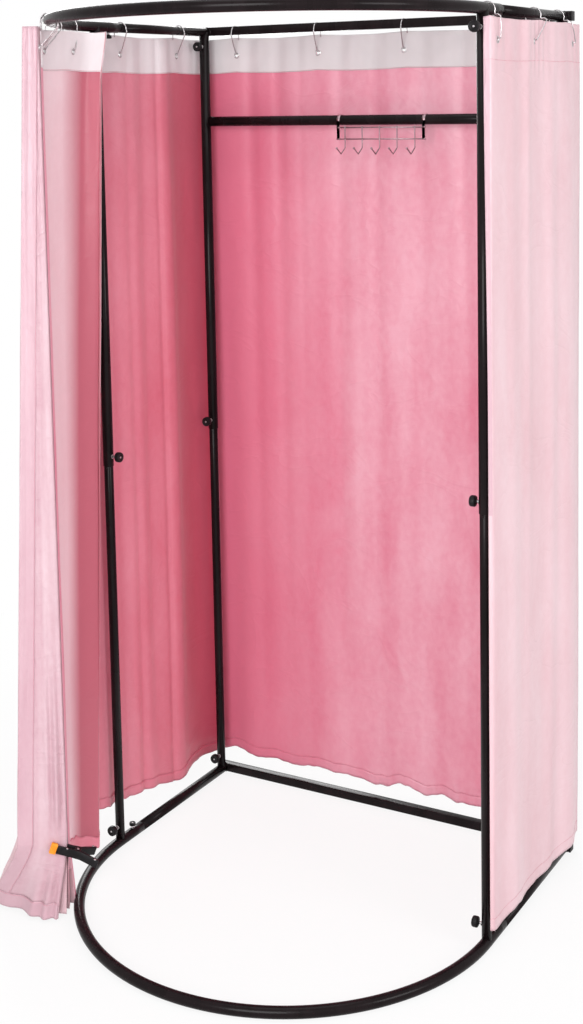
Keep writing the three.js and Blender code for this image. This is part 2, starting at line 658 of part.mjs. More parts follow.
// A drawn pleat: a deep fold beside a narrow land of cloth that its hook holds
function placePleat(i) {
  const frame = pleatFrame(i);
  const land = new THREE.BoxGeometry(cloth.thickness, pleat.landWidth + pleat.thickness, clothTopZ - pleat.hemZ);
  land.translate(sideReach, pleat.thickness / 2, (clothTopZ + pleat.hemZ) / 2);
  const drill = alongX(upright(rod(cloth.holeDiameter), sideReach - cloth.holeDiameter, sideReach + cloth.holeDiameter));
  let body = cut(join(pleatFold(), solid(land)), solid(drill.translate(0, 0, eyeletZ)));
  if (i === pleat.count - 1) body = cut(body, clampRoom());
  place(`curtain_pleat_${i + 1}`, toGeometry(body), pinkSatin, frame);
  curtainHook(`curtain_hook_pleat_${i + 1}`, frame, roundCarrier(tube.diameter), sideReach);
}

// Spring clamp: two arms on a pin, with a pad on each jaw, both sides of the leading pleat
const clampGap = pleat.thickness / 2 + touch + clamp.padThickness + touch;

function clampBed() {
  const bed = new THREE.Group();
  bed.position.set(clamp.pivotReach, pleatMiddle, clamp.pivotZ);
  bed.rotation.y = -THREE.MathUtils.degToRad(clamp.droopAngle);
  return bed;
}

// The rear jaw reaches through the pleat's land
function clampRoom() {
  const bed = clampBed();
  bed.updateMatrix();
  const depth = clampGap + clamp.armThickness;
  const room = new THREE.BoxGeometry(clamp.jawLength, depth, clamp.padHeight + 2 * touch);
  room.translate(clamp.jawLength / 2, -pleat.thickness / 2 - depth / 2, 0);
  return solid(room.applyMatrix4(bed.matrix));
}

function clampArm(side) {
  const thick = clamp.armThickness;
  const root = clampGap / 2;
  const armEnd = clamp.jawLength - clamp.padLength;
  const outline = [
    [armEnd, clampGap], [armEnd, clampGap + clamp.tipThickness], [clamp.earRadius, thick + root],
    [-clamp.handleLength, clamp.handleSpread + thick], [-clamp.handleLength, clamp.handleSpread],
    [-clamp.earRadius, root], [clamp.earRadius, root],
  ];
  const shape = new THREE.Shape(outline.map(([x, y]) => new THREE.Vector2(x, side * y)));
  const arm = new THREE.ExtrudeGeometry(shape, { depth: clamp.height, bevelEnabled: false });
  return solid(arm.translate(0, 0, -clamp.height / 2));
}

function ear(low, high) {
  return solid(upright(rod(2 * clamp.earRadius), low, high));
}

function placeClamp() {
  const bed = clampBed();
  pleatFrame(pleat.count - 1).add(bed);
  const half = clamp.height / 2;
  const pinHole = solid(upright(rod(clamp.pinDiameter + 2 * touch), -clamp.height, clamp.height));
  const ears = join(ear(-half, -half + clamp.earThickness), ear(half - clamp.earThickness, half));
  const middle = ear(-half + clamp.earThickness + touch, half - clamp.earThickness - touch);
  const clear = (low, high) => solid(upright(rod(2 * (clamp.earRadius + touch)), low, high));
  const middleClear = clear(-half + clamp.earThickness, half - clamp.earThickness);
  const earsClear = join(clear(-clamp.height, -half + clamp.earThickness + touch), clear(half - clamp.earThickness - touch, clamp.height));
  const rear = cut(join(cut(clampArm(-1), middleClear), ears), pinHole);
  const front = cut(join(cut(clampArm(1), earsClear), middle), pinHole);
  place('clamp_rear_arm', toGeometry(rear), blackPlastic, bed);
  place('clamp_front_arm', toGeometry(front), blackPlastic, bed);
  place('clamp_pin', upright(rod(clamp.pinDiameter), -half, half), brightWire, bed);
  for (const [side, hand] of [[-1, 'rear'], [1, 'front']]) {
    const bite = pleat.thickness / 2 + touch;
    const padDepth = clampGap + clamp.tipThickness - bite;
    const pad = new THREE.BoxGeometry(clamp.padLength - touch, padDepth, clamp.padHeight);
    const x = clamp.jawLength - (clamp.padLength - touch) / 2;
    place(`clamp_${hand}_pad`, pad, orangePlastic, bed).position.set(x, side * (bite + padDepth / 2), 0);
  }
}

rearFrame('base_rear_frame', bar.side / 2, baseTubeZ, tube.diameter, stubTube, 1);
frontHoop('base_front_hoop', baseTubeZ, stubTube, 1);
rearFrame('top_rear_frame', boothHeight - bar.side / 2, topTubeZ, slimTube.diameter, slimTube, -1);
frontHoop('top_front_hoop', topTubeZ, slimTube, -1);
postPlaces.forEach(placePost);
placeLockKnobs();
placePlugs();
clothesRail();
hookRack();
placeRightCurtain();
placeBackCurtain();
placeLeftCurtain();
for (let i = 0; i < pleat.count; i += 1) placePleat(i);
placeClamp();

export default room;
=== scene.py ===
# A portable fitting room: a D-shaped tube frame hung with satin curtains
import math

import bmesh
import bpy
from mathutils import Matrix, Vector, noise


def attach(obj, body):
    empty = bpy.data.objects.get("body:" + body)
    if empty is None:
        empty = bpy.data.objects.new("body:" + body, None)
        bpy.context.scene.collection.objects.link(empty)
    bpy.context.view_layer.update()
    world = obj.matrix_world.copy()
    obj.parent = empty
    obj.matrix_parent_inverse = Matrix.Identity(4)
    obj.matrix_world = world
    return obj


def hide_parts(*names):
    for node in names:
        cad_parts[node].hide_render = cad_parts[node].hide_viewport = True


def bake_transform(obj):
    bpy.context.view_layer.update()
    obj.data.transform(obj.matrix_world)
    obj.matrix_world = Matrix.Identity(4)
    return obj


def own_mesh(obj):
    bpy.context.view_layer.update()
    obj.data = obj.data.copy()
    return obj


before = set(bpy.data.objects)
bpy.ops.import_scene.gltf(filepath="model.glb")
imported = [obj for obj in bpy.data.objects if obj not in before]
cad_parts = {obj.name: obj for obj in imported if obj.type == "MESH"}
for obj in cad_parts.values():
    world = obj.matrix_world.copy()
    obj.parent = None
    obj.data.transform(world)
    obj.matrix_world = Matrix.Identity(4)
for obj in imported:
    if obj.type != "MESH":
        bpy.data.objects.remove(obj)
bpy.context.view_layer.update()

# Places shared with the frame, in metres
tubeX, frontY, backY, baseTubeZ, topTubeZ = 0.4825, -0.487, -0.025, 0.0125, 1.9875
clothX, clothBackY, hemZ, topZ, eyeletZ, headerZ = 0.504, 0.020, 0.050, 1.972, 1.927, 1.884
print("frame loaded,", len(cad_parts), "nodes")


# Shader maths as plain expressions

class Value:
    def __init__(self, shader, socket):
        self.shader, self.socket = shader, socket

    def maths(self, operation, *values):
        return self.shader.node("ShaderNodeMath", {"operation": operation}, dict(enumerate(values)))

    def __add__(self, other):
        return self.maths("ADD", self, other)

    def __sub__(self, other):
        return self.maths("SUBTRACT", self, other)

    def __rsub__(self, other):
        return self.maths("SUBTRACT", other, self)

    def __mul__(self, other):
        return self.maths("MULTIPLY", self, other)

    def __truediv__(self, other):
        return self.maths("DIVIDE", self, other)

    def __rtruediv__(self, other):
        return self.maths("DIVIDE", other, self)

    def __pow__(self, other):
        return self.maths("POWER", self, other)

    def __abs__(self):
        return self.maths("ABSOLUTE", self)

    __radd__, __rmul__ = __add__, __mul__

    def kept(self):
        return self.maths("MINIMUM", self.maths("MAXIMUM", self, 0.0), 1.0)


class Shader:
    def __init__(self, owner):
        owner.use_nodes = True
        self.owner, self.tree = owner, owner.node_tree
        self.tree.nodes.clear()

    def node(self, kind, settings=None, inputs=None, output=0):
        made = self.tree.nodes.new(kind)
        for key, value in (settings or {}).items():
            setattr(made, key, value)
        for key, value in (inputs or {}).items():
            if isinstance(value, Value):
                self.tree.links.new(value.socket, made.inputs[key])
            else:
                made.inputs[key].default_value = value
        return Value(self, made.outputs[output]) if made.outputs else None

    def place(self, coordinates="Object"):
        return self.node("ShaderNodeTexCoord", None, None, coordinates)

    def mixed(self, factor, first, second):
        ends = [(*end, 1.0) if isinstance(end, tuple) else end for end in (first, second)]
        return self.node("ShaderNodeMix", {"data_type": "RGBA"}, {0: factor, 6: ends[0], 7: ends[1]}, 2)

    def grain(self, place, scale, detail=3.0, distortion=0.0):
        spread = self.node("ShaderNodeMapping", None, {"Vector": place, "Scale": scale})
        inputs = {"Vector": spread, "Scale": 1.0, "Detail": detail, "Roughness": 0.5, "Distortion": distortion}
        return self.node("ShaderNodeTexNoise", None, inputs)

    def finish(self, color, roughness, height, relief, **constants):
        bump = self.node("ShaderNodeBump", None, {"Strength": relief[0], "Distance": relief[1], "Height": height})
        constants = {key.replace("_", " "): value for key, value in constants.items()}
        inputs = {"Base Color": color, "Roughness": roughness, "Normal": bump, **constants}
        self.output(self.node("ShaderNodeBsdfPrincipled", None, inputs))
        return self.owner

    def output(self, surface, kind="Material"):
        self.node("ShaderNodeOutput" + kind, None, {"Surface": surface})


def newShader(name):
    return Shader(bpy.data.materials.new(name))


satinLook = {
    "deep": (0.65, 0.18, 0.265), "pale": (0.78, 0.42, 0.505), "roughness": 0.40, "relief": (0.55, 0.004),
    "streak": (9.0, 0.6, 1.0), "slub": (26.0, 520.0, 1.0), "wrinkle": (8.0, 3.4, 1.0), "crease": (5.0, 6.5, 1.0),
    "crumple": (70.0, 44.0, 1.0), "sheen": 0.45, "sheenRoughness": 0.35, "sheenTint": (1.0, 0.84, 0.87, 1.0),
}


def satin(name, **changes):
    look = {**satinLook, **changes}
    shader = newShader(name)
    place = shader.place("UV")
    streak = shader.grain(place, look["streak"], 2.0)
    slub = shader.grain(place, look["slub"], 2.0)
    wrinkle = shader.grain(place, look["wrinkle"], 5.0, 0.6)
    crease = (1.0 - abs(shader.grain(place, look["crease"], 3.0, 1.2) * 2.0 - 1.0)) ** 9.0
    crumple = shader.grain(place, look["crumple"], 3.0, 0.4)
    # the tone paints light into the colour: the streak noise gives painted sheen bands, and the wrinkle and crumple
    # terms paint shade and highlight on the same relief as the bump; the slub is the weave's own tone
    tone = 0.5 + (streak - 0.5) * 1.3 + (slub - 0.5) * 0.12 + (wrinkle - 0.5) * 0.9 + (crumple - 0.5) * 0.4
    color = shader.mixed(tone.kept(), look["deep"], look["pale"])
    if "fade" in look:  # across the cloth the edge's colour, painted shade where a corner or ridge falls into shadow, gives way to the rest
        low, high = look["fade"]
        across = shader.node("ShaderNodeSeparateXYZ", None, {"Vector": place})
        color = shader.mixed(((across - low) / (high - low)).kept(), look["edge"], color)
    roughness = (look["roughness"] + (slub - 0.5) * 0.16 + (streak - 0.5) * 0.12).kept()
    height = wrinkle * 0.9 + crease * 0.25 + slub * 0.03 + crumple * 0.10
    return shader.finish(color, roughness, height, look["relief"], Sheen_Weight=look["sheen"],
                         Sheen_Roughness=look["sheenRoughness"], Sheen_Tint=look["sheenTint"], Specular_IOR_Level=0.4)


tapeLook = {
    "shade": (0.56, 0.52, 0.53), "light": (0.70, 0.65, 0.665), "twill": 900.0 / 6.3, "wrinkle": (10.0, 6.0, 1.0),
    "relief": (0.35, 0.0016),
}


def whiteTape(name, **changes):
    look = {**tapeLook, **changes}
    shader = newShader(name)
    place = shader.place("UV")
    twill = shader.node("ShaderNodeTexWave", {"bands_direction": "DIAGONAL"}, {"Vector": place, "Scale": look["twill"]})
    wrinkle = shader.grain(place, look["wrinkle"], 4.0, 0.3)
    color = shader.mixed((wrinkle * 1.4 - 0.2).kept(), look["shade"], look["light"])
    return shader.finish(color, 0.62 + (wrinkle - 0.5) * 0.1, wrinkle * 0.8 + twill * 0.05, look["relief"],
                         Sheen_Weight=0.15, Specular_IOR_Level=0.3)


paintLook = {
    "color": (0.006, 0.0038, 0.0042), "worn": (0.016, 0.010, 0.0115), "haze": (22.0, 22.0, 6.0), "peel": 420.0,
    "roughness": 0.27, "relief": (0.12, 0.0004),
}


def glossPaint(name):
    shader = newShader(name)
    place = shader.place()
    haze = shader.grain(place, paintLook["haze"], 4.0)
    peel = shader.grain(place, (paintLook["peel"],) * 3, 1.0)
    color = shader.mixed((haze * 1.6 - 0.5).kept(), paintLook["color"], paintLook["worn"])
    return shader.finish(color, (paintLook["roughness"] + (haze - 0.5) * 0.16).kept(), peel, paintLook["relief"],
                         Coat_Weight=0.04, Coat_Roughness=0.12, Specular_IOR_Level=0.08)


plasticLook = {
    "color": (0.007, 0.0062, 0.007), "worn": (0.018, 0.016, 0.018), "scuff": 60.0, "grain": 900.0, "roughness": 0.42,
    "relief": (0.25, 0.0003),
}


def mouldedPlastic(name, **changes):
    look = {**plasticLook, **changes}
    shader = newShader(name)
    place = shader.place()
    scuff = shader.grain(place, (look["scuff"],) * 3, 4.0, 0.5)
    grain = shader.grain(place, (look["grain"],) * 3, 2.0)
    color = shader.mixed((scuff * 1.8 - 0.7).kept(), look["color"], look["worn"])
    roughness = (look["roughness"] + (scuff - 0.5) * 0.2).kept()
    return shader.finish(color, roughness, grain, look["relief"], Specular_IOR_Level=0.14)


wireLook = {
    "color": (0.56, 0.53, 0.54), "dull": (0.34, 0.31, 0.32), "tarnish": (140.0, 140.0, 90.0), "roughness": 0.3,
    "relief": (0.1, 0.0002),
}


def platedWire(name, **changes):
    look = {**wireLook, **changes}
    shader = newShader(name)
    tarnish = shader.grain(shader.place(), look["tarnish"], 4.0)
    color = shader.mixed((tarnish * 2.0 - 0.7).kept(), look["color"], look["dull"])
    roughness = (look["roughness"] + (tarnish - 0.5) * 0.3).kept()
    return shader.finish(color, roughness, tarnish, look["relief"], Metallic=1.0)


materials = {
    "inner": satin("satinInside"),
    # the back wall's copy of the inside satin: paler as painted light, with painted shade deepening it towards the left
    # corner
    "innerBack": satin("satinInsideBack", pale=(0.80, 0.47, 0.55), fade=(0.98, 0.52), edge=(0.66, 0.15, 0.235)),
    # the left wall's copy of the inside satin: deeper as painted shade, and darkest towards the back corner
    "innerDeep": satin("satinInsideShaded", deep=(0.66, 0.15, 0.215), pale=(0.78, 0.31, 0.385), sheen=0.3,
                       fade=(0.0, 0.27), edge=(0.60, 0.075, 0.13)),
    # the turned cloth past the left ridge: paler as a painted sheen highlight, with a painted-shade edge along the
    # ridge
    "innerTurn": satin("satinInsideTurnedLit", deep=(0.80, 0.56, 0.61), pale=(0.92, 0.75, 0.79), sheen=0.8,
                       fade=(0.803, 0.868), edge=(0.49, 0.125, 0.17)),
    "outer": satin("satinOutside", deep=(0.66, 0.40, 0.44), pale=(0.76, 0.57, 0.61), sheen=0.3),
    # the front-facing pleat and gathered curtain: a darker copy of the outside satin as painted shade, with dense
    # streaks as painted sheen bands
    "outerFront": satin("satinOutsideFrontShaded", deep=(0.50, 0.27, 0.325), pale=(0.68, 0.52, 0.56), sheen=0.4,
                        streak=(24.0, 1.0, 1.0), roughness=0.31, relief=(0.75, 0.006)),
    "hem": satin("satinHem", deep=(0.53, 0.31, 0.365), pale=(0.63, 0.44, 0.49), sheen=0.12),
    "tape": whiteTape("whiteHeaderTape"),
    "litTape": whiteTape("whiteHeaderTapeLit", shade=(0.70, 0.64, 0.655), light=(0.84, 0.775, 0.80)),
    "thread": mouldedPlastic("pinkThread", color=(0.60, 0.22, 0.29), worn=(0.74, 0.38, 0.44), grain=1600.0,
                             roughness=0.6),
    "paint": glossPaint("blackGlossPaint"),
    "plastic": mouldedPlastic("blackMouldedPlastic"),
    "orange": mouldedPlastic("orangeRubberyPlastic", color=(0.86, 0.29, 0.025), worn=(0.93, 0.40, 0.06),
                             roughness=0.48),
    "wire": platedWire("platedWire"),
    # the rack's wire: darker as painted shade and pink-tinted as a painted reflection of the curtains
    "shadedWire": platedWire("shadedPlatedWire", color=(0.40, 0.30, 0.32), dull=(0.24, 0.17, 0.19), roughness=0.42),
}
print("materials made,", len(materials))


# Mesh helpers

def addPiece(name, shape, finishes, body, node=None):
    mesh = bpy.data.meshes.new(name)
    shape.to_mesh(mesh)
    shape.free()
    piece = bpy.data.objects.new(name, mesh)
    bpy.context.scene.collection.objects.link(piece)
    for finish in finishes.split():
        mesh.materials.append(materials[finish])
    for face in mesh.polygons:
        face.use_smooth = len(face.vertices) < 5
    if body:  # a piece without a body rides on neither
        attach(piece, body)
    if node:
        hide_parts(node)
    return piece


# cloth with two finishes or more shows the second on its inner side
def addCloth(name, shape, finishes, body, node=None, thickness=0.0009):
    piece = addPiece(name, shape, finishes, body, node)
    solid = piece.modifiers.new("thickness", "SOLIDIFY")
    solid.thickness, solid.offset, solid.use_rim = thickness, 0.0, True
    solid.material_offset = 1 if len(piece.data.materials) > 1 else 0
    return piece


def pieceName(stem, name):
    return stem + "".join(word.capitalize() for word in name.split("_"))


def smoothStep(low, high, value):
    share = min(max((value - low) / (high - low), 0.0), 1.0)
    return share * share * (3 - 2 * share)


def bell(value, centre, width):
    return math.exp(-(((value - centre) / width) ** 2))


def waver(x, y, seed, depth=3):
    return noise.fractal(Vector((x, y, seed)), 1.0, 2.0, depth)


def polar(angle, radius, z=0.0):
    turn = math.radians(angle)
    return Vector((-radius * math.cos(turn), frontY - radius * math.sin(turn), z))


def curveThrough(points, steps):
    ends = [2 * points[0] - points[1], *points, 2 * points[-1] - points[-2]]
    line = []
    for i in range(len(points) - 1):
        a, b, c, d = ends[i:i + 4]
        for k in range(steps):
            t = k / steps
            square = (2 * a - 5 * b + 4 * c - d) * t ** 2
            line.append(0.5 * (2 * b + (c - a) * t + square + (3 * b - a - 3 * c + d) * t ** 3))
    return [*line, points[-1].copy()]


def levelsBetween(low, high, count):
    return [low + (high - low) * i / count for i in range(count + 1)]


def facing(origin, direction):
    return Matrix.Translation(origin) @ Vector(direction).to_track_quat("Z", "Y").to_matrix().to_4x4()


def moved(part, place):
    bmesh.ops.transform(part, matrix=place, verts=part.verts)
    return part


def joined(*parts):
    whole = bmesh.new()
    for part in parts:
        mesh = bpy.data.meshes.new("part")
        part.to_mesh(mesh)
        part.free()
        whole.from_mesh(mesh)
        bpy.data.meshes.remove(mesh)
    return whole


# a profile of (radius, height) turned about Z; where it starts and ends on the axis it closes
def turned(profile, steps=32, finish=0, closed=False):
    part = bmesh.new()
    verts = [part.verts.new((r, 0.0, z)) for r, z in profile]
    edges = [part.edges.new(pair) for pair in zip(verts, verts[1:])]
    if closed:
        edges.append(part.edges.new((verts[-1], verts[0])))
    bmesh.ops.spin(part, geom=verts + edges, cent=(0.0, 0.0, 0.0), axis=(0.0, 0.0, 1.0), angle=math.tau, steps=steps,
                   use_merge=True)
    bmesh.ops.remove_doubles(part, verts=part.verts, dist=1e-6)
    bmesh.ops.recalc_face_normals(part, faces=part.faces)
    for face in part.faces:
        face.material_index = finish
    return part


# round stock along a line of points
def pipe(points, radius, sides=7, closed=False):
    curve = bpy.data.curves.new("pipe", "CURVE")
    curve.dimensions, curve.bevel_depth, curve.bevel_resolution, curve.use_fill_caps = "3D", radius, sides, True
    spline = curve.splines.new("POLY")
    spline.points.add(len(points) - 1)
    spline.use_cyclic_u = closed
    for point, at in zip(spline.points, points):
        point.co = (*at, 1.0)
    holder = bpy.data.objects.new("pipe", curve)
    mesh = bpy.data.meshes.new_from_object(holder)
    part = bmesh.new()
    part.from_mesh(mesh)
    bmesh.ops.remove_doubles(part, verts=part.verts, dist=1e-6)
    bpy.data.objects.remove(holder)
    bpy.data.meshes.remove(mesh)
    return part


def bevelled(part, offset, segments):
    bmesh.ops.bevel(part, geom=part.edges[:] + part.verts[:], offset=offset, segments=segments, profile=0.5,
                    affect="EDGES", material=-1)
    return part


def roundedBox(size, place, radius, segments=3):
    part = bmesh.new()
    bmesh.ops.create_cube(part, size=1.0)
    bmesh.ops.scale(part, vec=size, verts=part.verts)
    bevelled(part, radius, segments)
    bmesh.ops.translate(part, vec=place, verts=part.verts)
    return part


# Frame: smooth tubes, welded where they meet

stock = {
    "tube": 0.0125, "slim": 0.011, "bore": 0.0113, "stub": 0.0095 * 0.98, "stubReach": 0.08, "hoopSteps": 84,
    "bar": 0.022, "barHalf": 0.4957, "barEdge": 0.0022, "seamY": -0.0118, "bead": 0.0017, "beadStep": 0.0045,
    "sideY": (-0.0105, -0.2, -0.4017), "spigotY": (-0.39, -0.472), "legY": (-0.402, -0.43, -0.46),
}
tube, slim = stock["tube"], stock["slim"]
barZ = {"base": 0.011, "top": 1.989}
hands = {"left": -1, "right": 1}
directions = {"forward": (0, -1, 0), "inward": (-1, 0, 0), "right": (1, 0, 0), "up": (0, 0, 1), "down": (0, 0, -1)}


# a weld bead lies round a joint as a row of small scales
def weldBead(origin, direction, radius, seed):
    count = max(int(math.tau * radius / stock["beadStep"]) * 2, 12)
    ring = []
    for i in range(count):
        turn = math.tau * i / count
        across, up = math.cos(turn), math.sin(turn)
        reach = radius + 0.0004 * (i % 2) + 0.0003 * waver(across * 3, up * 3, seed)
        ring.append(Vector((reach * across, reach * up, 0.0003 * waver(turn * 2, 0.0, seed + 3))))
    bead = moved(pipe(ring, stock["bead"], 2, True), facing(origin, direction))
    if origin[2] > 0.0:  # a bead on the base stays off the floor
        for vert in bead.verts:
            vert.co.z = max(vert.co.z, 0.0004)
    return bead


def rearFrame(level, tubeZ, sideRadius, stubRadius, upwards):
    bar = (2 * stock["barHalf"], stock["bar"], stock["bar"])
    parts = [roundedBox(bar, (0.0, 0.0, barZ[level]), stock["barEdge"])]
    for side in hands.values():
        x = side * tubeX
        tip = tubeZ + upwards * (sideRadius + stock["stubReach"])
        parts += [
            pipe([Vector((x, y, tubeZ)) for y in stock["sideY"]], sideRadius),
            pipe([Vector((x, y, tubeZ)) for y in stock["spigotY"]], slim),
            weldBead((x, stock["seamY"], tubeZ), directions["forward"], sideRadius, side),
            pipe([Vector((x, backY, z)) for z in (tubeZ, tip)], stubRadius),
        ]
    addPiece(level + "RearFrame", joined(*parts), "paint", level, level + "_rear_frame")


def frontHoop(level, tubeZ, stubRadius, upwards):
    count = stock["hoopSteps"]
    arc = [polar(180.0 * i / count, tubeX, tubeZ) for i in range(count + 1)]
    legs = [[Vector((side * tubeX, y, tubeZ)) for y in stock["legY"]] for side in hands.values()]
    parts = [pipe(legs[0] + arc + legs[1][::-1], tube)]
    for side in hands.values():
        foot = Vector((side * tubeX, frontY, tubeZ))
        parts.append(pipe([foot, foot + Vector((0, 0, upwards * (tube + stock["stubReach"])))], stubRadius))
    addPiece(level + "FrontHoop", joined(*parts), "paint", level, level + "_front_hoop")


rearFrame("base", baseTubeZ, tube, stock["stub"], 1)
rearFrame("top", topTubeZ, slim, slim, -1)
frontHoop("base", baseTubeZ, stock["stub"], 1)
frontHoop("top", topTubeZ, slim, -1)

posts = {"back_left": (-1, backY), "back_right": (1, backY), "front_left": (-1, frontY), "front_right": (1, frontY)}
post = {"lowEnd": 0.0185, "sleeveEnd": 0.951, "insertion": 0.18, "wall": 0.0012, "lip": 0.0006, "sleeveLip": 0.0004,
        "buttonDrop": 0.0038}
buttonProfile = [(0.0, 0.0132), (0.0018, 0.0131), (0.0030, 0.0124), (0.0035, 0.0112), (0.0035, 0.0095), (0.0, 0.0095)]

for name, (side, y) in posts.items():
    foot = Matrix.Translation((side * tubeX, y, 0.0))
    low, end, lip = post["lowEnd"], post["sleeveEnd"], post["lip"]
    top, inner = end + post["insertion"], slim - post["wall"]
    tubeWall = [(slim, low), (slim, top - lip), (slim - lip, top), (inner, top), (inner, low)]
    lower = moved(turned(tubeWall, closed=True), foot)
    # the spring button that the upper post rests on
    buttonPlace = (side * tubeX, y, end - post["buttonDrop"])
    button = moved(turned(buttonProfile, 20), facing(buttonPlace, directions["forward"]))
    addPiece(pieceName("lowerPost", name), joined(lower, button), "paint", "base", "lower_post_" + name)
    sleeve = [(tube - post["sleeveLip"], end), (tube, end + lip), (tube, topTubeZ), (stock["bore"], topTubeZ),
              (stock["bore"], end)]
    upper = moved(turned(sleeve, closed=True), foot)
    addPiece(pieceName("upperPost", name), joined(upper), "paint", "top", "upper_post_" + name)

rail = {"z": 1.759, "x": (-0.4725, -0.2, 0.2, 0.4725), "seamX": 0.4705}
seams = [weldBead((side * rail["seamX"], backY, rail["z"]), directions["right"], tube - 0.0004, 5 + side)
         for side in hands.values()]
run = pipe([Vector((x, backY, rail["z"])) for x in rail["x"]], tube)
addPiece("clothesRail", joined(run, *seams), "paint", "top", "clothes_rail")

plug = {"flange": (0.004, 0.022, 0.022), "flangeX": 0.498, "edge": 0.0014, "insert": (0.014, 0.0184, 0.0184),
        "insertX": 0.4895, "insertEdge": 0.001}
for level, z in barZ.items():
    for hand, side in hands.items():
        flange = roundedBox(plug["flange"], (side * plug["flangeX"], 0.0, z), plug["edge"])
        insert = roundedBox(plug["insert"], (side * plug["insertX"], 0.0, z), plug["insertEdge"], 2)
        node = f"{level}_end_plug_{hand}"
        addPiece(pieceName(level + "EndPlug", hand), joined(flange, insert), "plastic", level, node)
print("frame made")


# Knob screws: a plated stem and a moulded head with soft grips round it

knob = {"head": 0.012, "thickness": 0.013, "stem": 0.003, "grips": 14, "gripDepth": 0.0004, "screw": 0.0024}
lockKnob = {"head": 0.008, "thickness": 0.009, "stem": 0.003, "grips": 12, "gripDepth": 0.0003, "screw": 0.0018}
# shares of the head's radius, with how far they lie from its back and from its face
headBack = [(0.55, 0.0), (0.62, 0.0010), (0.93, 0.0014), (1.0, 0.0026)]
headFace = [(1.0, 0.0026), (0.965, 0.0009), (0.88, 0.0001), (0.80, 0.0), (0.74, 0.0006), (0.66, 0.0011)]


def knobScrew(name, node, look, around, reach, direction, place):
    head, stem, screw, back = look["head"], look["stem"], look["screw"], reach - look["thickness"]
    shaft = turned([(0.0, around - 0.0012), (stem, around - 0.0012), (stem, back + 0.0005), (0.0, back + 0.0005)],
                   20, 1)
    profile = [(stem - 0.0002, back), *((head * share, back + rise) for share, rise in headBack)]
    profile += [(head * share, reach - drop) for share, drop in headFace]
    cap = turned([*profile, (screw * 1.3, reach - 0.0012), (0.0, reach - 0.0012)], look["grips"] * 4)
    for vert in cap.verts:
        away = math.hypot(vert.co.x, vert.co.y)
        if away > head * 0.91:
            cut = look["gripDepth"] * (0.5 - 0.5 * math.cos(look["grips"] * math.atan2(vert.co.y, vert.co.x)))
            vert.co.xy *= (away - cut) / away
    tip = turned([(0.0, reach - 0.0003), (screw * 0.55, reach - 0.00035), (screw, reach - 0.0007),
                  (screw, reach - 0.0014), (0.0, reach - 0.0014)], 20, 1)
    collar = turned([(stem, around - 0.0003), (stem + 0.0022, around - 0.0003), (stem + 0.0022, around + 0.0011),
                     (stem, around + 0.0011)], 24, 1, True)
    shape = moved(joined(shaft, cap, tip, collar), facing(place, directions[direction]))
    addPiece(name, shape, "plastic wire", node, node)


knobHeights = {"top": 1.950, "middle": 0.975, "bottom": 0.052}
turnedAside = {"middle_knob_front_left": "right", "middle_knob_front_right": "inward",
               "bottom_knob_front_right": "inward"}
lock = {"reach": 0.026, "y": -0.436}
for level, z in knobHeights.items():
    for name, (side, y) in posts.items():
        node = f"{level}_knob_{name}"
        reach = 0.037 if name != "front_right" else 0.048 if level == "top" else 0.032
        knobScrew(pieceName(level + "Knob", name), node, knob, slim if level == "bottom" else tube, reach,
                  turnedAside.get(node, "forward"), (side * tubeX, y, z))
for hand, side in hands.items():
    for level, z, direction in (("base", baseTubeZ, "up"), ("top", topTubeZ, "down")):
        knobScrew(pieceName(level + "LockKnob", hand), f"{level}_lock_knob_{hand}", lockKnob, tube, lock["reach"],
                  direction, (side * tubeX, lock["y"], z))
print("knobs made")


# Hook rack on the rail

rack = {
    "middleX": 0.027, "strapSpacing": 0.230, "strapWidth": 0.008, "strap": 0.0016, "strapDrop": 0.046, "play": 0.0003,
    "backDrop": 0.006, "wire": 0.0015, "sunk": 0.0006, "upperDrop": 0.018, "pitch": 0.047, "count": 5, "rise": 0.004,
    "knee": 0.067, "drop": 0.081, "depth": 0.044, "tipRise": 0.014, "tip": 0.00275,
}


def rackStrap(x):
    inner = tube + rack["play"] + rack["strap"] / 2
    path = [Vector((0.0, -inner, -rack["strapDrop"])), Vector((0.0, -inner, -rack["strapDrop"] / 2))]
    path += [Vector((0.0, -inner * math.cos(math.pi * i / 16), inner * math.sin(math.pi * i / 16))) for i in range(17)]
    path += [Vector((0.0, inner, -rack["backDrop"]))]
    strap = bmesh.new()
    bmesh.ops.create_grid(strap, x_segments=2, y_segments=len(path) - 1, size=0.5)
    for vert in strap.verts:
        row = round((vert.co.y + 0.5) * (len(path) - 1))
        vert.co = path[row] + Vector((x + vert.co.x * rack["strapWidth"], 0.0, 0.0))
    bmesh.ops.solidify(strap, geom=strap.faces[:], thickness=rack["strap"])
    bmesh.ops.recalc_face_normals(strap, faces=strap.faces)
    return strap


def rackHook(x, y):
    middle, knee, low = y - rack["depth"] / 2, -rack["knee"], -rack["drop"]
    path = [(y, rack["rise"] - rack["upperDrop"]), (y, knee + 0.008), (y - 0.001, knee), (y - 0.008, knee - 0.0052),
            (middle + 0.004, low + 0.0022), (middle, low), (middle - 0.004, low + 0.0022),
            (y - rack["depth"], low + rack["tipRise"])]
    tip = bmesh.new()
    bmesh.ops.create_uvsphere(tip, u_segments=14, v_segments=10, radius=rack["tip"])
    wire = pipe(curveThrough([Vector((x, across, z)) for across, z in path], 3), rack["wire"], 3)
    return [wire, moved(tip, Matrix.Translation((x, *path[-1])))]


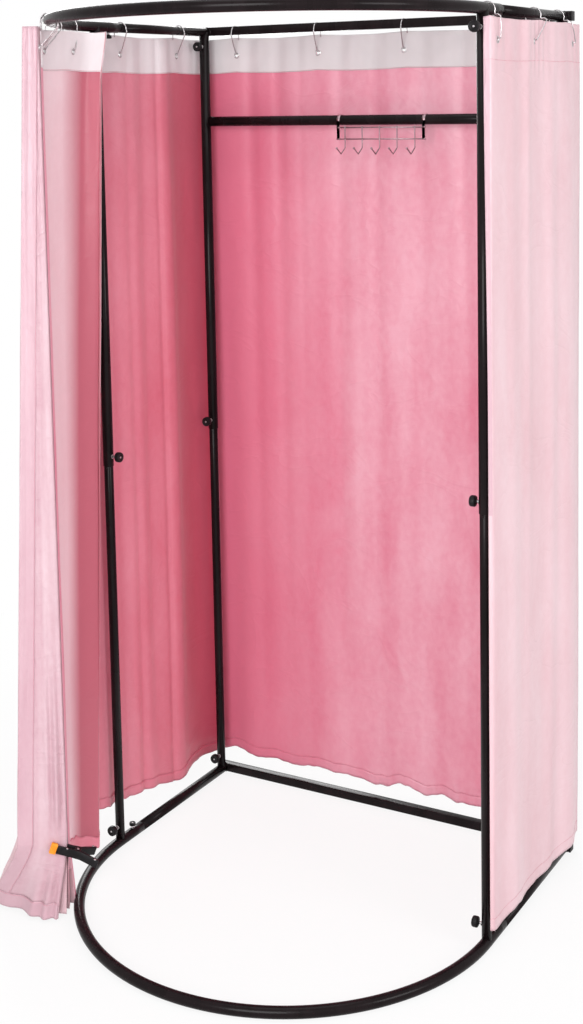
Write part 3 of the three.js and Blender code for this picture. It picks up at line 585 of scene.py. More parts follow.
wireY = -(tube + rack["play"] + rack["strap"]) - rack["wire"] + rack["sunk"]
strapX = rack["strapSpacing"] / 2
wireEnd = strapX + rack["strapWidth"] / 2
parts = [rackStrap(side * strapX) for side in hands.values()]
for drop in (rack["upperDrop"], rack["strapDrop"]):
    parts.append(pipe([Vector((x, wireY, -drop)) for x in (-wireEnd, 0.0, wireEnd)], rack["wire"], 3))
    parts += [weldBead((side * strapX + 0.004, wireY, -drop), directions["right"], 0.0008, drop * 90)
              for side in hands.values()]
for i in range(rack["count"]):
    parts += rackHook((i - (rack["count"] - 1) / 2) * rack["pitch"], wireY - 2 * rack["wire"] + rack["sunk"])
shape = moved(joined(*parts), Matrix.Translation((rack["middleX"], backY, rail["z"])))
addPiece("hookRack", shape, "shadedWire", "rack", "hook_rack")
print("rail and hook rack made")


# A hung cloth: lineAt gives its plan line at a height, ripple how far it stands out there
class Drape:
    def __init__(self, lineAt, ripple, width, low, sag):
        self.lineAt, self.ripple, self.width, self.low, self.sag = lineAt, ripple, width, low, sag
        self.rows = {}

    def height(self, v):
        return self.low + (topZ - self.low) * v

    def row(self, v):
        key = round(v, 6)
        if key not in self.rows:
            self.rows[key] = self.lineAt(self.height(v))
        return self.rows[key]

    def point(self, u, v, offset=0.0):
        line = self.row(v)
        spot = min(max(u, 0.0), 1.0) * (len(line) - 1)
        i = min(int(spot), len(line) - 2)
        a, b = line[i], line[i + 1]
        before, after = line[max(i - 1, 0)], line[min(i + 2, len(line) - 1)]
        t = spot - i
        along = (b - before) * (1 - t) + (after - a) * t
        along.z = 0.0
        along.normalize()
        at = a.lerp(b, t) + Vector((along.y, -along.x, 0.0)) * (self.ripple(u, v) + offset)
        at.z = self.height(v) + self.sag(u, v)
        return at

    def outwards(self, u, v, step=0.003):
        across = self.point(u + step, v) - self.point(u - step, v)
        up = self.point(u, v + step) - self.point(u, v - step)
        return across.cross(up).normalized()


# span gives where the cloth starts and ends across, at each height
def clothGrid(drape, columns, levels, span=lambda v: (0.0, 1.0), offset=0.0):
    bm = bmesh.new()
    rows = len(levels) - 1
    bmesh.ops.create_grid(bm, x_segments=columns, y_segments=rows, size=0.5)
    uv = bm.loops.layers.uv.new("cloth")
    shares = {}
    for vert in bm.verts:
        v = levels[round((vert.co.y + 0.5) * rows)]
        start, end = span(v)
        shares[vert] = (start + (end - start) * (vert.co.x + 0.5), v)
    for face in bm.faces:
        for loop in face.loops:
            u, v = shares[loop.vert]
            loop[uv].uv = (u * drape.width, drape.height(v))
    for vert, (u, v) in shares.items():
        vert.co = drape.point(u, v, offset)
    return bm


def holeAt(bm, centre, radius=0.0052):
    near = [f for f in bm.faces if (f.calc_center_median() - centre).length < radius * 0.9]
    bmesh.ops.delete(bm, geom=near, context="FACES")
    for vert in bm.verts:
        away = vert.co - centre
        if vert.is_boundary and 1e-6 < away.length < radius * 1.9:
            vert.co = centre + away.normalized() * radius


stitch = {"spacing": 0.0046, "size": (0.003, 0.0007, 0.0006)}


# rows of stitches lying on the cloth, each along a path of shares
def stitches(drape, rows):
    bm = bmesh.new()
    size = Matrix.Diagonal((*stitch["size"], 1.0))
    for path, offset in rows:
        points = [drape.point(u, v, offset) for u, v in path]
        carried = 0.0
        for place, a, b in zip(path, points, points[1:]):
            reach = (b - a).length
            if reach < 1e-6:
                continue
            along = (b - a) / reach
            side = drape.outwards(*place).cross(along).normalized()
            turn = Matrix((along, side, along.cross(side))).transposed().to_4x4() @ size
            while carried < reach:
                middle = a + along * (carried + stitch["size"][0] / 2)
                bmesh.ops.create_cube(bm, size=1.0, matrix=Matrix.Translation(middle) @ turn)
                carried += stitch["spacing"]
            carried -= reach
    return bm


def acrossPath(v, start, end, count=160):
    return [(start + (end - start) * i / count, v) for i in range(count + 1)]


# Curtain walls

wall = {
    "thickness": 0.0012, "hookSag": 0.004, "hem": 0.0135, "rise": 0.002, "stand": 0.002, "bandOffset": -0.0016,
    "hemOffset": -0.0015, "seamUp": 0.0012, "outerStitch": 0.0007,
    "levels": levelsBetween(0.0, 0.03, 8)[:-1] + levelsBetween(0.03, 0.945, 150)[:-1] + levelsBetween(0.945, 1.0, 24),
}


# how high z lies on the cloth, from 0 at the hem to 1 at the top edge
def wallShare(z):
    return (z - hemZ) / (topZ - hemZ)


eyeletShare, headerShare = wallShare(eyeletZ), wallShare(headerZ)


# a value given at the hem, the middle and the top, at a share of the height between them
def throughHeights(share, atHem, atMiddle, atTop):
    return atHem * (1 - share) * (1 - 2 * share) + atMiddle * 4 * share * (1 - share) + atTop * share * (2 * share - 1)


def foldsAt(folds, s, z):
    share = wallShare(z)
    return sum(throughHeights(share, atHem, atMiddle, atTop) * bell(s, centre + drift * (1 - share), width)
               for centre, width, atTop, atMiddle, atHem, drift in folds)


def hangSag(hooks, settings):
    stops = [-0.06, *hooks, settings["length"] + 0.06]

    def sag(u, v):
        s = u * settings["length"]
        scallops = settings["scallop"] * waver(s * 12, 0.0, settings["length"], 3) * smoothStep(0.06, 0.0, v)
        for a, b in zip(stops, stops[1:]):
            if a <= s <= b:
                t = (s - a) / (b - a)
                return scallops - wall["hookSag"] * 4 * t * (1 - t) * min(1.0, (b - a) / 0.2) * smoothStep(0.8, 1.0, v)
    return sag


def wallRipple(settings):
    seed = settings["seed"]

    def ripple(u, v):
        s, z = u * settings["length"], hemZ + v * (topZ - hemZ)
        soft = waver(s * settings["waves"], z * 0.45, seed, 2) * settings["wave"]
        fine = waver(s * 15, z * 6.5, seed + 7, 3) * settings["fine"]
        hem = math.sin(s * settings["hemTurns"] + 2.4 * math.sin(s * 5 + seed)) * settings["hemWave"]
        pucker = math.sin(s * 150 + 5 * math.sin(s * 23)) * settings["pucker"]
        pucker *= 0.5 + waver(s * 9, z * 2, seed + 2, 1)
        free = soft * (0.45 + 0.55 * smoothStep(0.0, 0.5, 1 - v)) + fine + hem * smoothStep(0.22, 0.0, v)
        free += pucker * smoothStep(0.925, 0.965, v) + foldsAt(settings["folds"], s, z)
        atHook = max(bell(s, hook, 0.03) for hook in settings["hooks"]) * smoothStep(0.9, 0.985, v)
        return max(free * (1 - 0.7 * atHook), settings["least"]) + wall["stand"]
    return ripple


# folds: centre and width along the cloth, depth at the top, middle and hem, and how far the centre drifts
leftWall = {
    "length": 0.947, "straight": 0.507, "turned": 0.72, "least": -0.015, "seed": 3.1, "waves": 5.0, "wave": 0.0035,
    "fine": 0.0008, "hemTurns": 46.0, "hemWave": 0.003, "pucker": 0.0004, "scallop": 0.005, "hooks": [0.15, 0.395],
    "turnHooks": [0.7, 0.85], "turnDepth": 0.086, "line": 0.504, "flare": 0.14, "steps": (80, 8),
    "folds": [
        (0.105, 0.062, 0.006, 0.010, 0.012, 0.0), (0.205, 0.034, -0.008, -0.014, -0.012, 0.0),
        (0.235, 0.008, 0.004, 0.006, 0.006, 0.0), (0.285, 0.030, 0.008, 0.010, 0.008, 0.01),
        (0.355, 0.018, 0.003, 0.006, 0.008, 0.0), (0.43, 0.025, 0.006, 0.006, 0.010, -0.01),
        (0.62, 0.02, 0.0, 0.003, 0.004, 0.0), (0.72, 0.03, 0.003, 0.005, 0.004, 0.01),
    ],
    # round the hoop: angle, and depth as a share of turnDepth
    "top": [(0, 0), (3.7, 0), (6.2, 0.015), (6.5, 0.45), (6.6, 1), (7.4, 0.96), (9.5, 0.6), (17.8, 0.44), (25.3, 0.27),
            (32.4, 0)],
    "middle": [(0, 0), (2.2, 0), (4.2, 0.02), (5.6, 0.2), (6, 0.47), (6.9, 0.45), (12.5, 0.16), (17.5, 0.05),
               (24.5, 0.04), (32.4, 0)],
    "hem": [(0, 0), (4.0, 0), (8.0, 0.0), (11.6, 0.10), (12.6, 0.34), (14.2, 0.36), (18.5, 0.10), (23.8, 0),
            (29.2, 0.0), (32.4, 0)],
    # how far the hem is lifted, by length along the cloth
    "lift": [(0.0, 0.0), (0.115, 0.010), (0.222, 0.0), (0.33, 0.021), (0.43, 0.036), (0.507, 0.050), (0.556, 0.060),
             (0.62, 0.070), (0.66, 0.066), (0.72, 0.020), (0.7515, 0.004), (0.80, 0.020), (0.849, 0.043),
             (0.898, 0.062), (0.947, 0.064)],
}


def leftLine(z):
    share = wallShare(z)
    flare = 1 - leftWall["flare"] * smoothStep(1.0, 0.94, share) * smoothStep(0.25, 0.6, share)
    corners = []
    for places in zip(leftWall["hem"], leftWall["middle"], leftWall["top"]):
        angle, depth = (throughHeights(share, *values) for values in zip(*places))
        corners.append(polar(angle, leftWall["line"] - leftWall["turnDepth"] * depth * flare))
    start, end = Vector((-clothX, clothBackY, 0.0)), Vector((-clothX, frontY, 0.0))
    straightSteps, turnSteps = leftWall["steps"]
    return [start.lerp(end, i / straightSteps) for i in range(straightSteps)] + curveThrough(corners, turnSteps)


leftCount = leftWall["steps"][0] + leftWall["steps"][1] * (len(leftWall["top"]) - 1)
leftStraightShare = leftWall["steps"][0] / leftCount


# the line's own shares become lengths along the cloth
def leftLength(u):
    straight = leftWall["straight"]
    if u < leftStraightShare:
        return u / leftStraightShare * straight
    return straight + (u - leftStraightShare) / (1 - leftStraightShare) * (leftWall["length"] - straight)


def leftRipple(u, v):
    return leftFolds(leftLength(u) / leftWall["length"], v)


def leftSag(u, v):
    s, lifted = leftLength(u), leftWall["lift"][-1][1]
    for (a, low), (b, high) in zip(leftWall["lift"], leftWall["lift"][1:]):
        if a <= s <= b:
            lifted = low + (high - low) * smoothStep(a, b, s)
            break
    risen = wall["rise"] * smoothStep(0.62, 1.0, u) * smoothStep(0.6, 0.97, v)
    return leftHang(u, v) + risen + lifted * smoothStep(0.22, 0.0, v)


leftFolds = wallRipple(leftWall)
leftHang = hangSag(leftWall["hooks"] + leftWall["turnHooks"], leftWall)

backWall = {
    "length": 1.013, "corner": 0.5065, "least": -0.004, "seed": 11.7, "waves": 3.0, "wave": 0.006, "fine": 0.0008,
    "hemTurns": 34.0, "hemWave": 0.004, "pucker": 0.0004, "scallop": 0.016, "hooks": [0.438, 0.679, 0.924],
    "folds": [
        (0.965, 0.03, -0.003, 0.003, 0.004, 0.0), (0.885, 0.02, 0.007, 0.004, 0.001, -0.01),
        (0.80, 0.02, 0.007, 0.004, 0.0, 0.0), (0.735, 0.012, 0.003, 0.001, 0.0, 0.0),
        (0.62, 0.022, 0.007, 0.005, 0.0, 0.02), (0.52, 0.02, 0.005, 0.004, 0.0, 0.01),
        (0.40, 0.028, 0.007, 0.004, 0.002, 0.0), (0.29, 0.02, 0.008, 0.005, 0.001, -0.02),
        (0.19, 0.03, 0.004, 0.005, 0.005, 0.0), (0.08, 0.03, 0.003, 0.005, 0.004, 0.0),
    ],
}


def backLine(z):
    return [Vector((x * backWall["corner"], clothBackY, 0.0)) for x in (1, 0, -1)]


rightWall = {
    "length": 0.535, "rolled": 0.05, "least": -0.004, "seed": 23.4, "waves": 6.0, "wave": 0.008, "fine": 0.0007,
    "hemTurns": 30.0, "hemWave": 0.003, "pucker": 0.0022, "scallop": 0.008, "hooks": [0.052, 0.313, 0.45],
    "edgeLength": 0.028, "edgeSteps": 4, "sideSteps": 60, "curl": (0.0075, 0.0065),
    "folds": [
        (0.12, 0.025, 0.002, 0.003, 0.002, 0.0), (0.20, 0.02, 0.006, 0.003, 0.001, 0.0),
        (0.33, 0.03, 0.006, 0.008, 0.006, 0.0), (0.44, 0.07, 0.010, 0.018, 0.014, 0.0),
    ],
}
edgeCount = 3 * rightWall["edgeSteps"]
rolledShare = edgeCount / (edgeCount + rightWall["sideSteps"])


# near the top the front edge curls in past the post
def rightLine(z):
    curl = rightWall["curl"][0] + rightWall["curl"][1] * smoothStep(0.55, 0.96, wallShare(z))
    cornerY = frontY - 0.004
    edge = [Vector((clothX - share * curl, cornerY + y, 0.0))
            for share, y in ((1.0, -0.010), (0.5, -0.0085), (0.1, -0.003), (0.0, 0.010))]
    end, steps = Vector((clothX, clothBackY, 0.0)), rightWall["sideSteps"]
    return curveThrough(edge, rightWall["edgeSteps"])[:-1] + [edge[-1].lerp(end, i / steps) for i in range(steps + 1)]


def rightRipple(u, v):
    edge = rightWall["edgeLength"]
    s = u / rolledShare * edge
    if u >= rolledShare:
        s = edge + (u - rolledShare) / (1 - rolledShare) * (rightWall["length"] - edge)
    return rightFolds(s / rightWall["length"], v) * smoothStep(0.0, rolledShare * 1.4, u)


rightFolds = wallRipple(rightWall)
leftDrape = Drape(leftLine, leftRipple, leftWall["length"], hemZ, leftSag)
backDrape = Drape(backLine, wallRipple(backWall), backWall["length"], hemZ, hangSag(backWall["hooks"], backWall))
rightDrape = Drape(rightLine, rightRipple, rightWall["length"], hemZ, hangSag(rightWall["hooks"], rightWall))


# Eyelets and bent-wire hooks

eyeletProfile = [(0.0046, -0.0012), (0.0046, 0.0012), (0.0055, 0.0020), (0.0070, 0.0020), (0.0083, 0.0010),
                 (0.0083, -0.0010), (0.0070, -0.0020), (0.0055, -0.0020)]
hook = {"wire": 0.00125, "loopRadius": 0.01725, "loopDrop": 0.01545, "tail": 0.010, "bend": 0.0025, "eyeReach": 0.007,
        "tipRise": 0.009, "holeTop": 0.00285}


def hookLine(tubeRadius, reach, eyeletZ, clothTop, fromOutside):
    loopZ, underZ = topTubeZ + tubeRadius + 0.0003 - hook["loopDrop"], topTubeZ - tubeRadius
    across, bend, eye, wireZ = hook["loopRadius"], hook["bend"], hook["eyeReach"], eyeletZ + hook["holeTop"]
    loop = [(across * math.cos(math.pi * i / 18), loopZ + across * math.sin(math.pi * i / 18)) for i in range(19)]
    if fromOutside:
        return [(-across, underZ - hook["tail"]), (-across, loopZ - 0.004), *loop[::-1], (across, underZ),
                (reach + eye, clothTop + bend), (reach + eye, wireZ + bend * 1.6), (reach + eye * 0.7, wireZ + 0.0004),
                (reach, wireZ), (reach - eye * 0.7, wireZ + 0.0004), (reach - eye, wireZ + bend * 1.4)]
    return [(across, underZ - hook["tail"]), (across, loopZ - 0.004), *loop, (-across, underZ - bend),
            (reach - eye - 0.001, wireZ + bend * 2.4), (reach - eye * 0.8, wireZ + 0.0010), (reach, wireZ),
            (reach + eye * 0.8, wireZ + 0.0010), (reach + eye, wireZ + bend * 1.6),
            (reach + eye, wireZ + hook["tipRise"])]


def curtainHook(name, node, body, carrier, outwards, tubeRadius, eyelet, clothTop, fromOutside=False):
    reach, along = (eyelet - carrier).dot(outwards), Vector((-outwards.y, outwards.x, 0.0))
    lean = (eyelet - carrier).dot(along)
    line = []
    for x, z in hookLine(tubeRadius, reach, eyelet.z, clothTop, fromOutside):
        share = smoothStep(topTubeZ - tubeRadius, eyelet.z + 0.002, z) if len(line) > 4 else 0.0
        line.append(carrier + outwards * x + along * (lean * share) + Vector((0.0, 0.0, z - carrier.z)))
    addPiece(name, joined(pipe(curveThrough(line, 2), hook["wire"], 3)), "wire", body, node)


def eyeletRing(place, normal):
    return moved(turned(eyeletProfile, 28, closed=True), facing(place, normal))


def leftShareAt(y):
    return (clothBackY - y) / leftWall["straight"] * leftStraightShare


def turnShareAt(angle):
    line = leftDrape.row(eyeletShare)

    def missed(i):
        return abs(math.degrees(math.atan2(frontY - line[i].y, -line[i].x)) - angle)
    return min(range(leftWall["steps"][0] + 1, leftCount), key=missed) / leftCount


def backShareAt(x):
    return (backWall["corner"] - x) / backWall["length"]


def rightShareAt(y):
    cornerY = frontY + 0.006
    return rolledShare + (y - cornerY) / (clothBackY - cornerY) * (1 - rolledShare)


# a hook's place on its tube, outwards there, the tube's radius and where across the cloth it holds
hookPlaces = {
    "left": lambda y, held: (Vector((-tubeX, y, topTubeZ)), Vector((-1, 0, 0)), slim, leftShareAt(held)),
    "turn": lambda angle, held: (polar(angle, tubeX, topTubeZ), (polar(angle, tubeX) - polar(0, 0)).normalized(), tube,
                                 turnShareAt(held)),
    "back": lambda x, held: (Vector((x, 0.0, topTubeZ)), Vector((0, 1, 0)), slim, backShareAt(held)),
    "right": lambda y, held: (Vector((tubeX, y, topTubeZ)), Vector((1, 0, 0)), tube if y < -0.4 else slim,
                              rightShareAt(held)),
}
walls = {
    "left": {"drape": leftDrape, "flat": (0.97, 1.912), "columns": 170, "cloth": "outer innerDeep outer innerTurn",
             "hem": "innerDeep", "band": "litTape",
             "hooks": {"left": [(-0.388, -0.362), (-0.142, -0.119)], "turn": [(13.0, 15.0), (27.0, 30.6)]}},
    "back": {"drape": backDrape, "flat": (1.02, 1.912), "columns": 150, "cloth": "outer innerBack", "hem": "innerBack",
             "band": "tape", "hooks": {"back": [(-0.404, -0.413), (-0.164, -0.174), (0.075, 0.064)]}},
    "right": {"drape": rightDrape, "flat": (0.54, 1.912), "columns": 96, "cloth": "outer inner hem", "hem": "inner",
              "band": "tape", "hooks": {"right": [(-0.463, -0.463), (-0.205, -0.262), (-0.060, -0.034)]}},
}


def wallInset(v):
    return 0.002, 0.998


def makeWall(side, look):
    drape, columns = look["drape"], look["columns"]
    hooks = [(stem, i + 1, *hookPlaces[stem](*at)) for stem, row in look["hooks"].items() for i, at in enumerate(row)]
    held = [share for *_, share in hooks]
    eyelets = [drape.point(u, eyeletShare) for u in held]
    bm = clothGrid(drape, columns, wall["levels"])
    for eyelet in eyelets:
        holeAt(bm, eyelet)
    # past the left ridge the cloth takes the turned satin, a painted sheen highlight, and the right front edge, rolled
    # out, takes the deeper hem satin as painted shade
    layer = bm.loops.layers.uv["cloth"]
    for face in bm.faces:
        place = face.loops[0][layer].uv
        if side == "left" and place.x / drape.width > leftWall["turned"]:
            face.material_index = 2
        elif side == "right" and place.x < rightWall["rolled"] and place.y > 0.95:
            face.material_index = 2
    cloth = addCloth(side + "Curtain", bm, look["cloth"], "top", "curtain_" + side, wall["thickness"])
    bm = clothGrid(drape, columns, levelsBetween(headerShare, 1.0, 26), wallInset, wall["bandOffset"])
    for u in held:
        holeAt(bm, drape.point(u, eyeletShare, wall["bandOffset"]))
    band = addCloth(side + "HeaderBand", bm, look["band"], "top")
    bm = clothGrid(drape, columns, levelsBetween(0.0, wall["hem"], 4), wallInset, wall["hemOffset"])
    hem = addCloth(side + "Hem", bm, look["hem"], "top")
    seams = [(v, offset) for v, inside in ((headerShare + wall["seamUp"], -0.0023), (wall["hem"], -0.0021))
             for offset in (inside, wall["outerStitch"])]
    sewn = addPiece(side + "Stitches", stitches(drape, [(acrossPath(v, 0.004, 0.996), offset) for v, offset in seams]),
                    "thread", "top")
    normals = [drape.outwards(u, eyeletShare) for u in held]
    rings = joined(*(eyeletRing(eyelet - normal * 0.0007, normal) for eyelet, normal in zip(eyelets, normals)))
    rings = addPiece(side + "Eyelets", rings, "wire", "top")
    for (stem, count, carrier, outwards, tubeRadius, u), eyelet in zip(hooks, eyelets):
        curtainHook(f"{stem}Hook{count}", f"curtain_hook_{stem}_{count}", "top", carrier, outwards, tubeRadius, eyelet,
                    drape.point(u, 1.0).z, side == "right")


for side, look in walls.items():
    makeWall(side, look)
print("curtain walls made")


# Drawn pleats, each in its own frame on the hoop: X outwards, Y round the hoop

pleat = {
    "firstAngle": 33.3, "pitch": 2.5, "landHalf": 0.0065, "foldY": (0.0075, 0.0125), "inner": 0.0205,
    "topDepth": 0.034, "kneeDepth": 0.110, "kneeZ": 0.189, "hemDepth": 0.167, "hemZ": 0.008, "hemSweep": 0.128,
    "gripZ": 0.165, "lean": (-0.013, 0.0, 0.007, 0.026), "squashTo": 0.12, "widths": (0.24, 0.13),
    "flats": ((0.20, 1.96), (0.115, 1.96)), "start": 0.075, "bandWidth": 0.036, "bottomHem": 0.0185, "stitchIn": 0.034,
    "levels": levelsBetween(0.0, 0.13, 44)[:-1] + levelsBetween(0.13, 0.945, 110)[:-1] + levelsBetween(0.945, 1.0, 20),
}
inner, land = pleat["inner"], pleat["inner"] + 0.001
pleatSpan = topZ - pleat["hemZ"]


def pleatRise(u, v):
    return wall["rise"] * smoothStep(0.6, 0.97, v)


def pleatAngle(index):
    return pleat["firstAngle"] + index * pleat["pitch"]


# a pleat's depth at a height, and how far it has fanned out there
def pleatAt(z):
    rise = min(max((z - pleat["kneeZ"]) / (topZ - pleat["kneeZ"]), 0.0), 1.0)
    fall = min(max((pleat["kneeZ"] - z) / (pleat["kneeZ"] - pleat["hemZ"]), 0.0), 1.0)
    upper = pleat["kneeDepth"] + (pleat["topDepth"] - pleat["kneeDepth"]) * rise
    eased = fall * fall * (3 - 2 * fall) * 0.4 + fall * 0.6
    return upper + (pleat["hemDepth"] - pleat["kneeDepth"]) * eased, eased


def awayFrom(angle):
    turn = math.radians(angle)
    return Vector((-math.cos(turn), -math.sin(turn), 0.0)), Vector((math.sin(turn), -math.cos(turn), 0.0))


def toRoom(angle, x, y):
    outwards, onwards = awayFrom(angle)
    return polar(angle, tubeX) + outwards * x + onwards * y


# below the knee the folds fan out and swing back towards their free edges
def swept(x, y, z, lean):
    depth, fall = pleatAt(z)
    across = max((x - inner) / depth, 0.0)
    return x + lean * fall * (1 - across), y - pleat["hemSweep"] * fall * (0.35 * across + 0.70 * across ** 2)


def foldPath(depth):
    near, far = pleat["foldY"]
    first, reach, middle = inner + 0.003, inner + depth - 0.003, (near + far) / 2
    path = [(land, -pleat["landHalf"]), (land, 0.0)]
    path += [(first + (reach - first) * i / 12, near) for i in range(13)]
    path += [(reach + 0.0025 * math.sin(a), middle - 0.0025 * math.cos(a)) for a in (0.8, 1.57, 2.35)]
    path += [(reach - (reach - first) * i / 12, far) for i in range(13)]
    return [*path, (land, 0.0135)]


def leadPath(depth):
    path = [(land, -pleat["landHalf"]), (land, 0.004), (inner + 0.003, 0.0085)]
    return path + [(inner + 0.005 + (depth - 0.005) * i / 30, 0.010) for i in range(1, 31)]


def pleatLine(index, pathAt):
    def line(z):
        return [toRoom(pleatAngle(index), *swept(x, y, z, pleat["lean"][index])) for x, y in pathAt(pleatAt(z)[0])]
    return line


def foldRipple(seed):
    def ripple(u, v):
        z = pleat["hemZ"] + v * pleatSpan
        free = smoothStep(0.02, 0.12, abs(z - pleat["gripZ"])) * smoothStep(0.06, 0.2, u) * smoothStep(0.0, 0.1, 1 - u)
        return waver(u * 3.0, z * 3.0, seed, 2) * 0.0016 * free
    return ripple


def leadRipple(u, v):
    z = pleat["hemZ"] + v * pleatSpan
    soft = waver(u * 3.2, z * 2.4, 5.5, 3) * 0.0045 * smoothStep(0.08, 0.3, u)
    # rolls of cloth run down to the clamp along the inner edge and open again below it
    rolls = math.sin((u - 0.08) * 30 + 0.8 * math.sin(z * 4)) * 0.0065 * smoothStep(0.06, 0.12, u)
    rolls *= smoothStep(0.52, 0.22, u) * smoothStep(0.75, 0.30, z)
    flare = math.sin(u * 12 + 0.6) * 0.009 * smoothStep(0.12, 0.0, z) * smoothStep(0.3, 0.6, u)
    return (soft + rolls) * smoothStep(0.025, 0.10, abs(z - pleat["gripZ"])) + flare


# where a band along the free edge starts; the path's first 2 of 32 parts lie on the land
def sideHemShare(v, band):
    return max(1 - band / pleatAt(pleat["hemZ"] + v * pleatSpan)[0] * 30 / 32, pleat["start"])


def leadingHems(drape, body):
    side = clothGrid(drape, 14, pleat["levels"], lambda v: (sideHemShare(v, pleat["bandWidth"]), 0.997), -0.0015)
    low = pleat["bottomHem"]
    lower = clothGrid(drape, 48, levelsBetween(0.0, low, 8), lambda v: (pleat["start"], 0.998), -0.0025)
    down = [(sideHemShare(v, pleat["stitchIn"]), v) for v in levelsBetween(0.004, 0.985, 240)]
    along = acrossPath(low - 0.0012, 0.08, 0.996, 60)
    rows = [row for offset in (-0.0023, 0.0007) for row in ((down, offset), (along, offset * 1.35))]
    return [addCloth("leadingSideHem", side, "hem", body), addCloth("leadingBottomHem", lower, "hem", body),
            addPiece("leadingStitches", stitches(drape, rows), "thread", body)]


def makePleat(i):
    last = i == 3
    angle, body = pleatAngle(i), "leading_pleat" if last else f"pleat_{i + 1}"
    ripple = leadRipple if last else foldRipple(31.0 + i)
    drape = Drape(pleatLine(i, leadPath if last else foldPath), ripple, pleat["widths"][last], pleat["hemZ"], pleatRise)
    bm = clothGrid(drape, 64 if last else 60, pleat["levels"])
    eyelet = toRoom(angle, land, 0.0)
    eyelet.z = eyeletZ + pleatRise(0, (eyeletZ - pleat["hemZ"]) / pleatSpan)
    holeAt(bm, eyelet)
    name, finishes = ("leadingPleat", "inner outerFront") if last else (f"drawnPleat{i + 1}", "outer inner")
    cloth = addCloth(name, bm, finishes, body, f"curtain_pleat_{i + 1}", wall["thickness"])
    outwards = awayFrom(angle)[0]
    parts = [addPiece(f"pleatEyelet{i + 1}", joined(eyeletRing(eyelet, outwards)), "wire", body)]
    curtainHook(f"pleatHook{i + 1}", f"curtain_hook_pleat_{i + 1}", body, polar(angle, tubeX, topTubeZ), outwards,
                tube, eyelet, topZ)
    if last:
        parts += leadingHems(drape, body)
    else:
        anchor = toRoom(angle, inner + 0.0005, 0.0)
        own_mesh(cloth)


for i in range(4):
    makePleat(i)

# Behind the pleats the front curtain runs on to the leading pleat
gathered = {
    "start": 32.3, "end": 40.35, "line": 0.5022, "loop": 0.0025, "columns": 132, "width": 0.30, "hemZ": 0.114,
    "flat": (0.076, 1.86), "blend": (32.9, 40.3), "blendRadius": 0.503,
    "levels": levelsBetween(0.0, 0.945, 60)[:-1] + levelsBetween(0.945, 1.0, 8),
}


def gatheredLine(z):
    start, end, line = gathered["start"], gathered["end"], []
    for i in range(gathered["columns"] + 1):
        angle = start + (end - start) * i / gathered["columns"]
        turns = (angle - pleat["firstAngle"]) / pleat["pitch"]
        loop = math.sin(math.pi * turns) ** 2 if 0.0 < turns < 3.0 else 0.0
        met = 0.0013 * smoothStep(end - 0.7, end - 0.3, angle)  # it meets the leading pleat's edge
        line.append(polar(angle, gathered["line"] + met - gathered["loop"] * loop))
    return line


def gatheredRipple(u, v):
    return waver(u * 7.0, v * 6.0, 77.0, 2) * 0.0010 * smoothStep(0.0, 0.1, u) * smoothStep(0.0, 0.1, 1 - u) - 0.0004


drape = Drape(gatheredLine, gatheredRipple, gathered["width"], gathered["hemZ"], pleatRise)
web = addCloth("gatheredCurtain", clothGrid(drape, gathered["columns"], gathered["levels"]), "outerFront inner", None)
bm = clothGrid(drape, gathered["columns"], levelsBetween(headerShare, 0.999, 10), lambda v: (0.01, 0.99), -0.0013)
webBand = addCloth("gatheredHeaderBand", bm, "litTape", None, None, 0.0008)
start, end = (tuple(polar(angle, gathered["blendRadius"])) for angle in gathered["blend"])
for piece in (web, webBand):
    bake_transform(piece)
print("drawn curtain made")


# Spring clamp on the gathered folds

clamp = {
    "pivot": (0.0015, 0.010, 0.159), "droop": 21.0, "height": 0.018, "jaw": 0.062, "handle": 0.045, "spread": 0.028,
    "arm": 0.007, "tip": 0.005, "ear": 0.008, "earThickness": 0.004, "pin": 0.0025, "play": 0.0003, "pad": 0.0147,
    "padHeight": 0.024, "gap": 0.0081, "bite": 0.0038,
}
droop, upwards = math.radians(clamp["droop"]), Vector((0.0, 0.0, 1.0))
outwards, onwards = awayFrom(pleatAngle(3))
clampTurn = Matrix((outwards * math.cos(droop) + upwards * math.sin(droop), onwards,
                    upwards * math.cos(droop) - outwards * math.sin(droop))).transposed().to_4x4()
clampPlace = toRoom(pleatAngle(3), *clamp["pivot"][:2]) + upwards * clamp["pivot"][2]
clampBed = Matrix.Translation(clampPlace) @ clampTurn
half = clamp["height"] / 2


def clampArm(side):
    thick, root, ear, handle, spread = clamp["arm"], clamp["gap"] / 2, clamp["ear"], clamp["handle"], clamp["spread"]
    end = clamp["jaw"] - clamp["pad"] - clamp["play"]
    outline = [(end, clamp["gap"]), (end, clamp["gap"] + clamp["tip"]), (ear + 0.004, thick + root + 0.0015),
               (-ear, thick + root + 0.0035), (-handle, spread + thick), (-handle - 0.0015, spread + thick / 2),
               (-handle, spread), (-ear, root + 0.0005), (ear, root)]
    arm = bmesh.new()
    face = arm.faces.new([arm.verts.new((x, side * y, -half)) for x, y in outline])
    grown = bmesh.ops.extrude_face_region(arm, geom=[face])
    bmesh.ops.translate(arm, vec=(0.0, 0.0, clamp["height"]),
                        verts=[v for v in grown["geom"] if isinstance(v, bmesh.types.BMVert)])
    bmesh.ops.recalc_face_normals(arm, faces=arm.faces)
    return bevelled(arm, 0.0011, 2)


def clampEar(low, high):
    inside, rim, lip = clamp["pin"] + clamp["play"], clamp["ear"], 0.0006
    profile = [(inside, low), (rim - lip, low), (rim, low + lip), (rim, high - lip), (rim - lip, high), (inside, high)]
    return turned(profile, 28, closed=True)


rivetProfile = [(0.0, 0.0012), (0.0016, 0.0011), (0.0026, 0.0004), (0.0026, -0.001), (0.0, -0.001)]


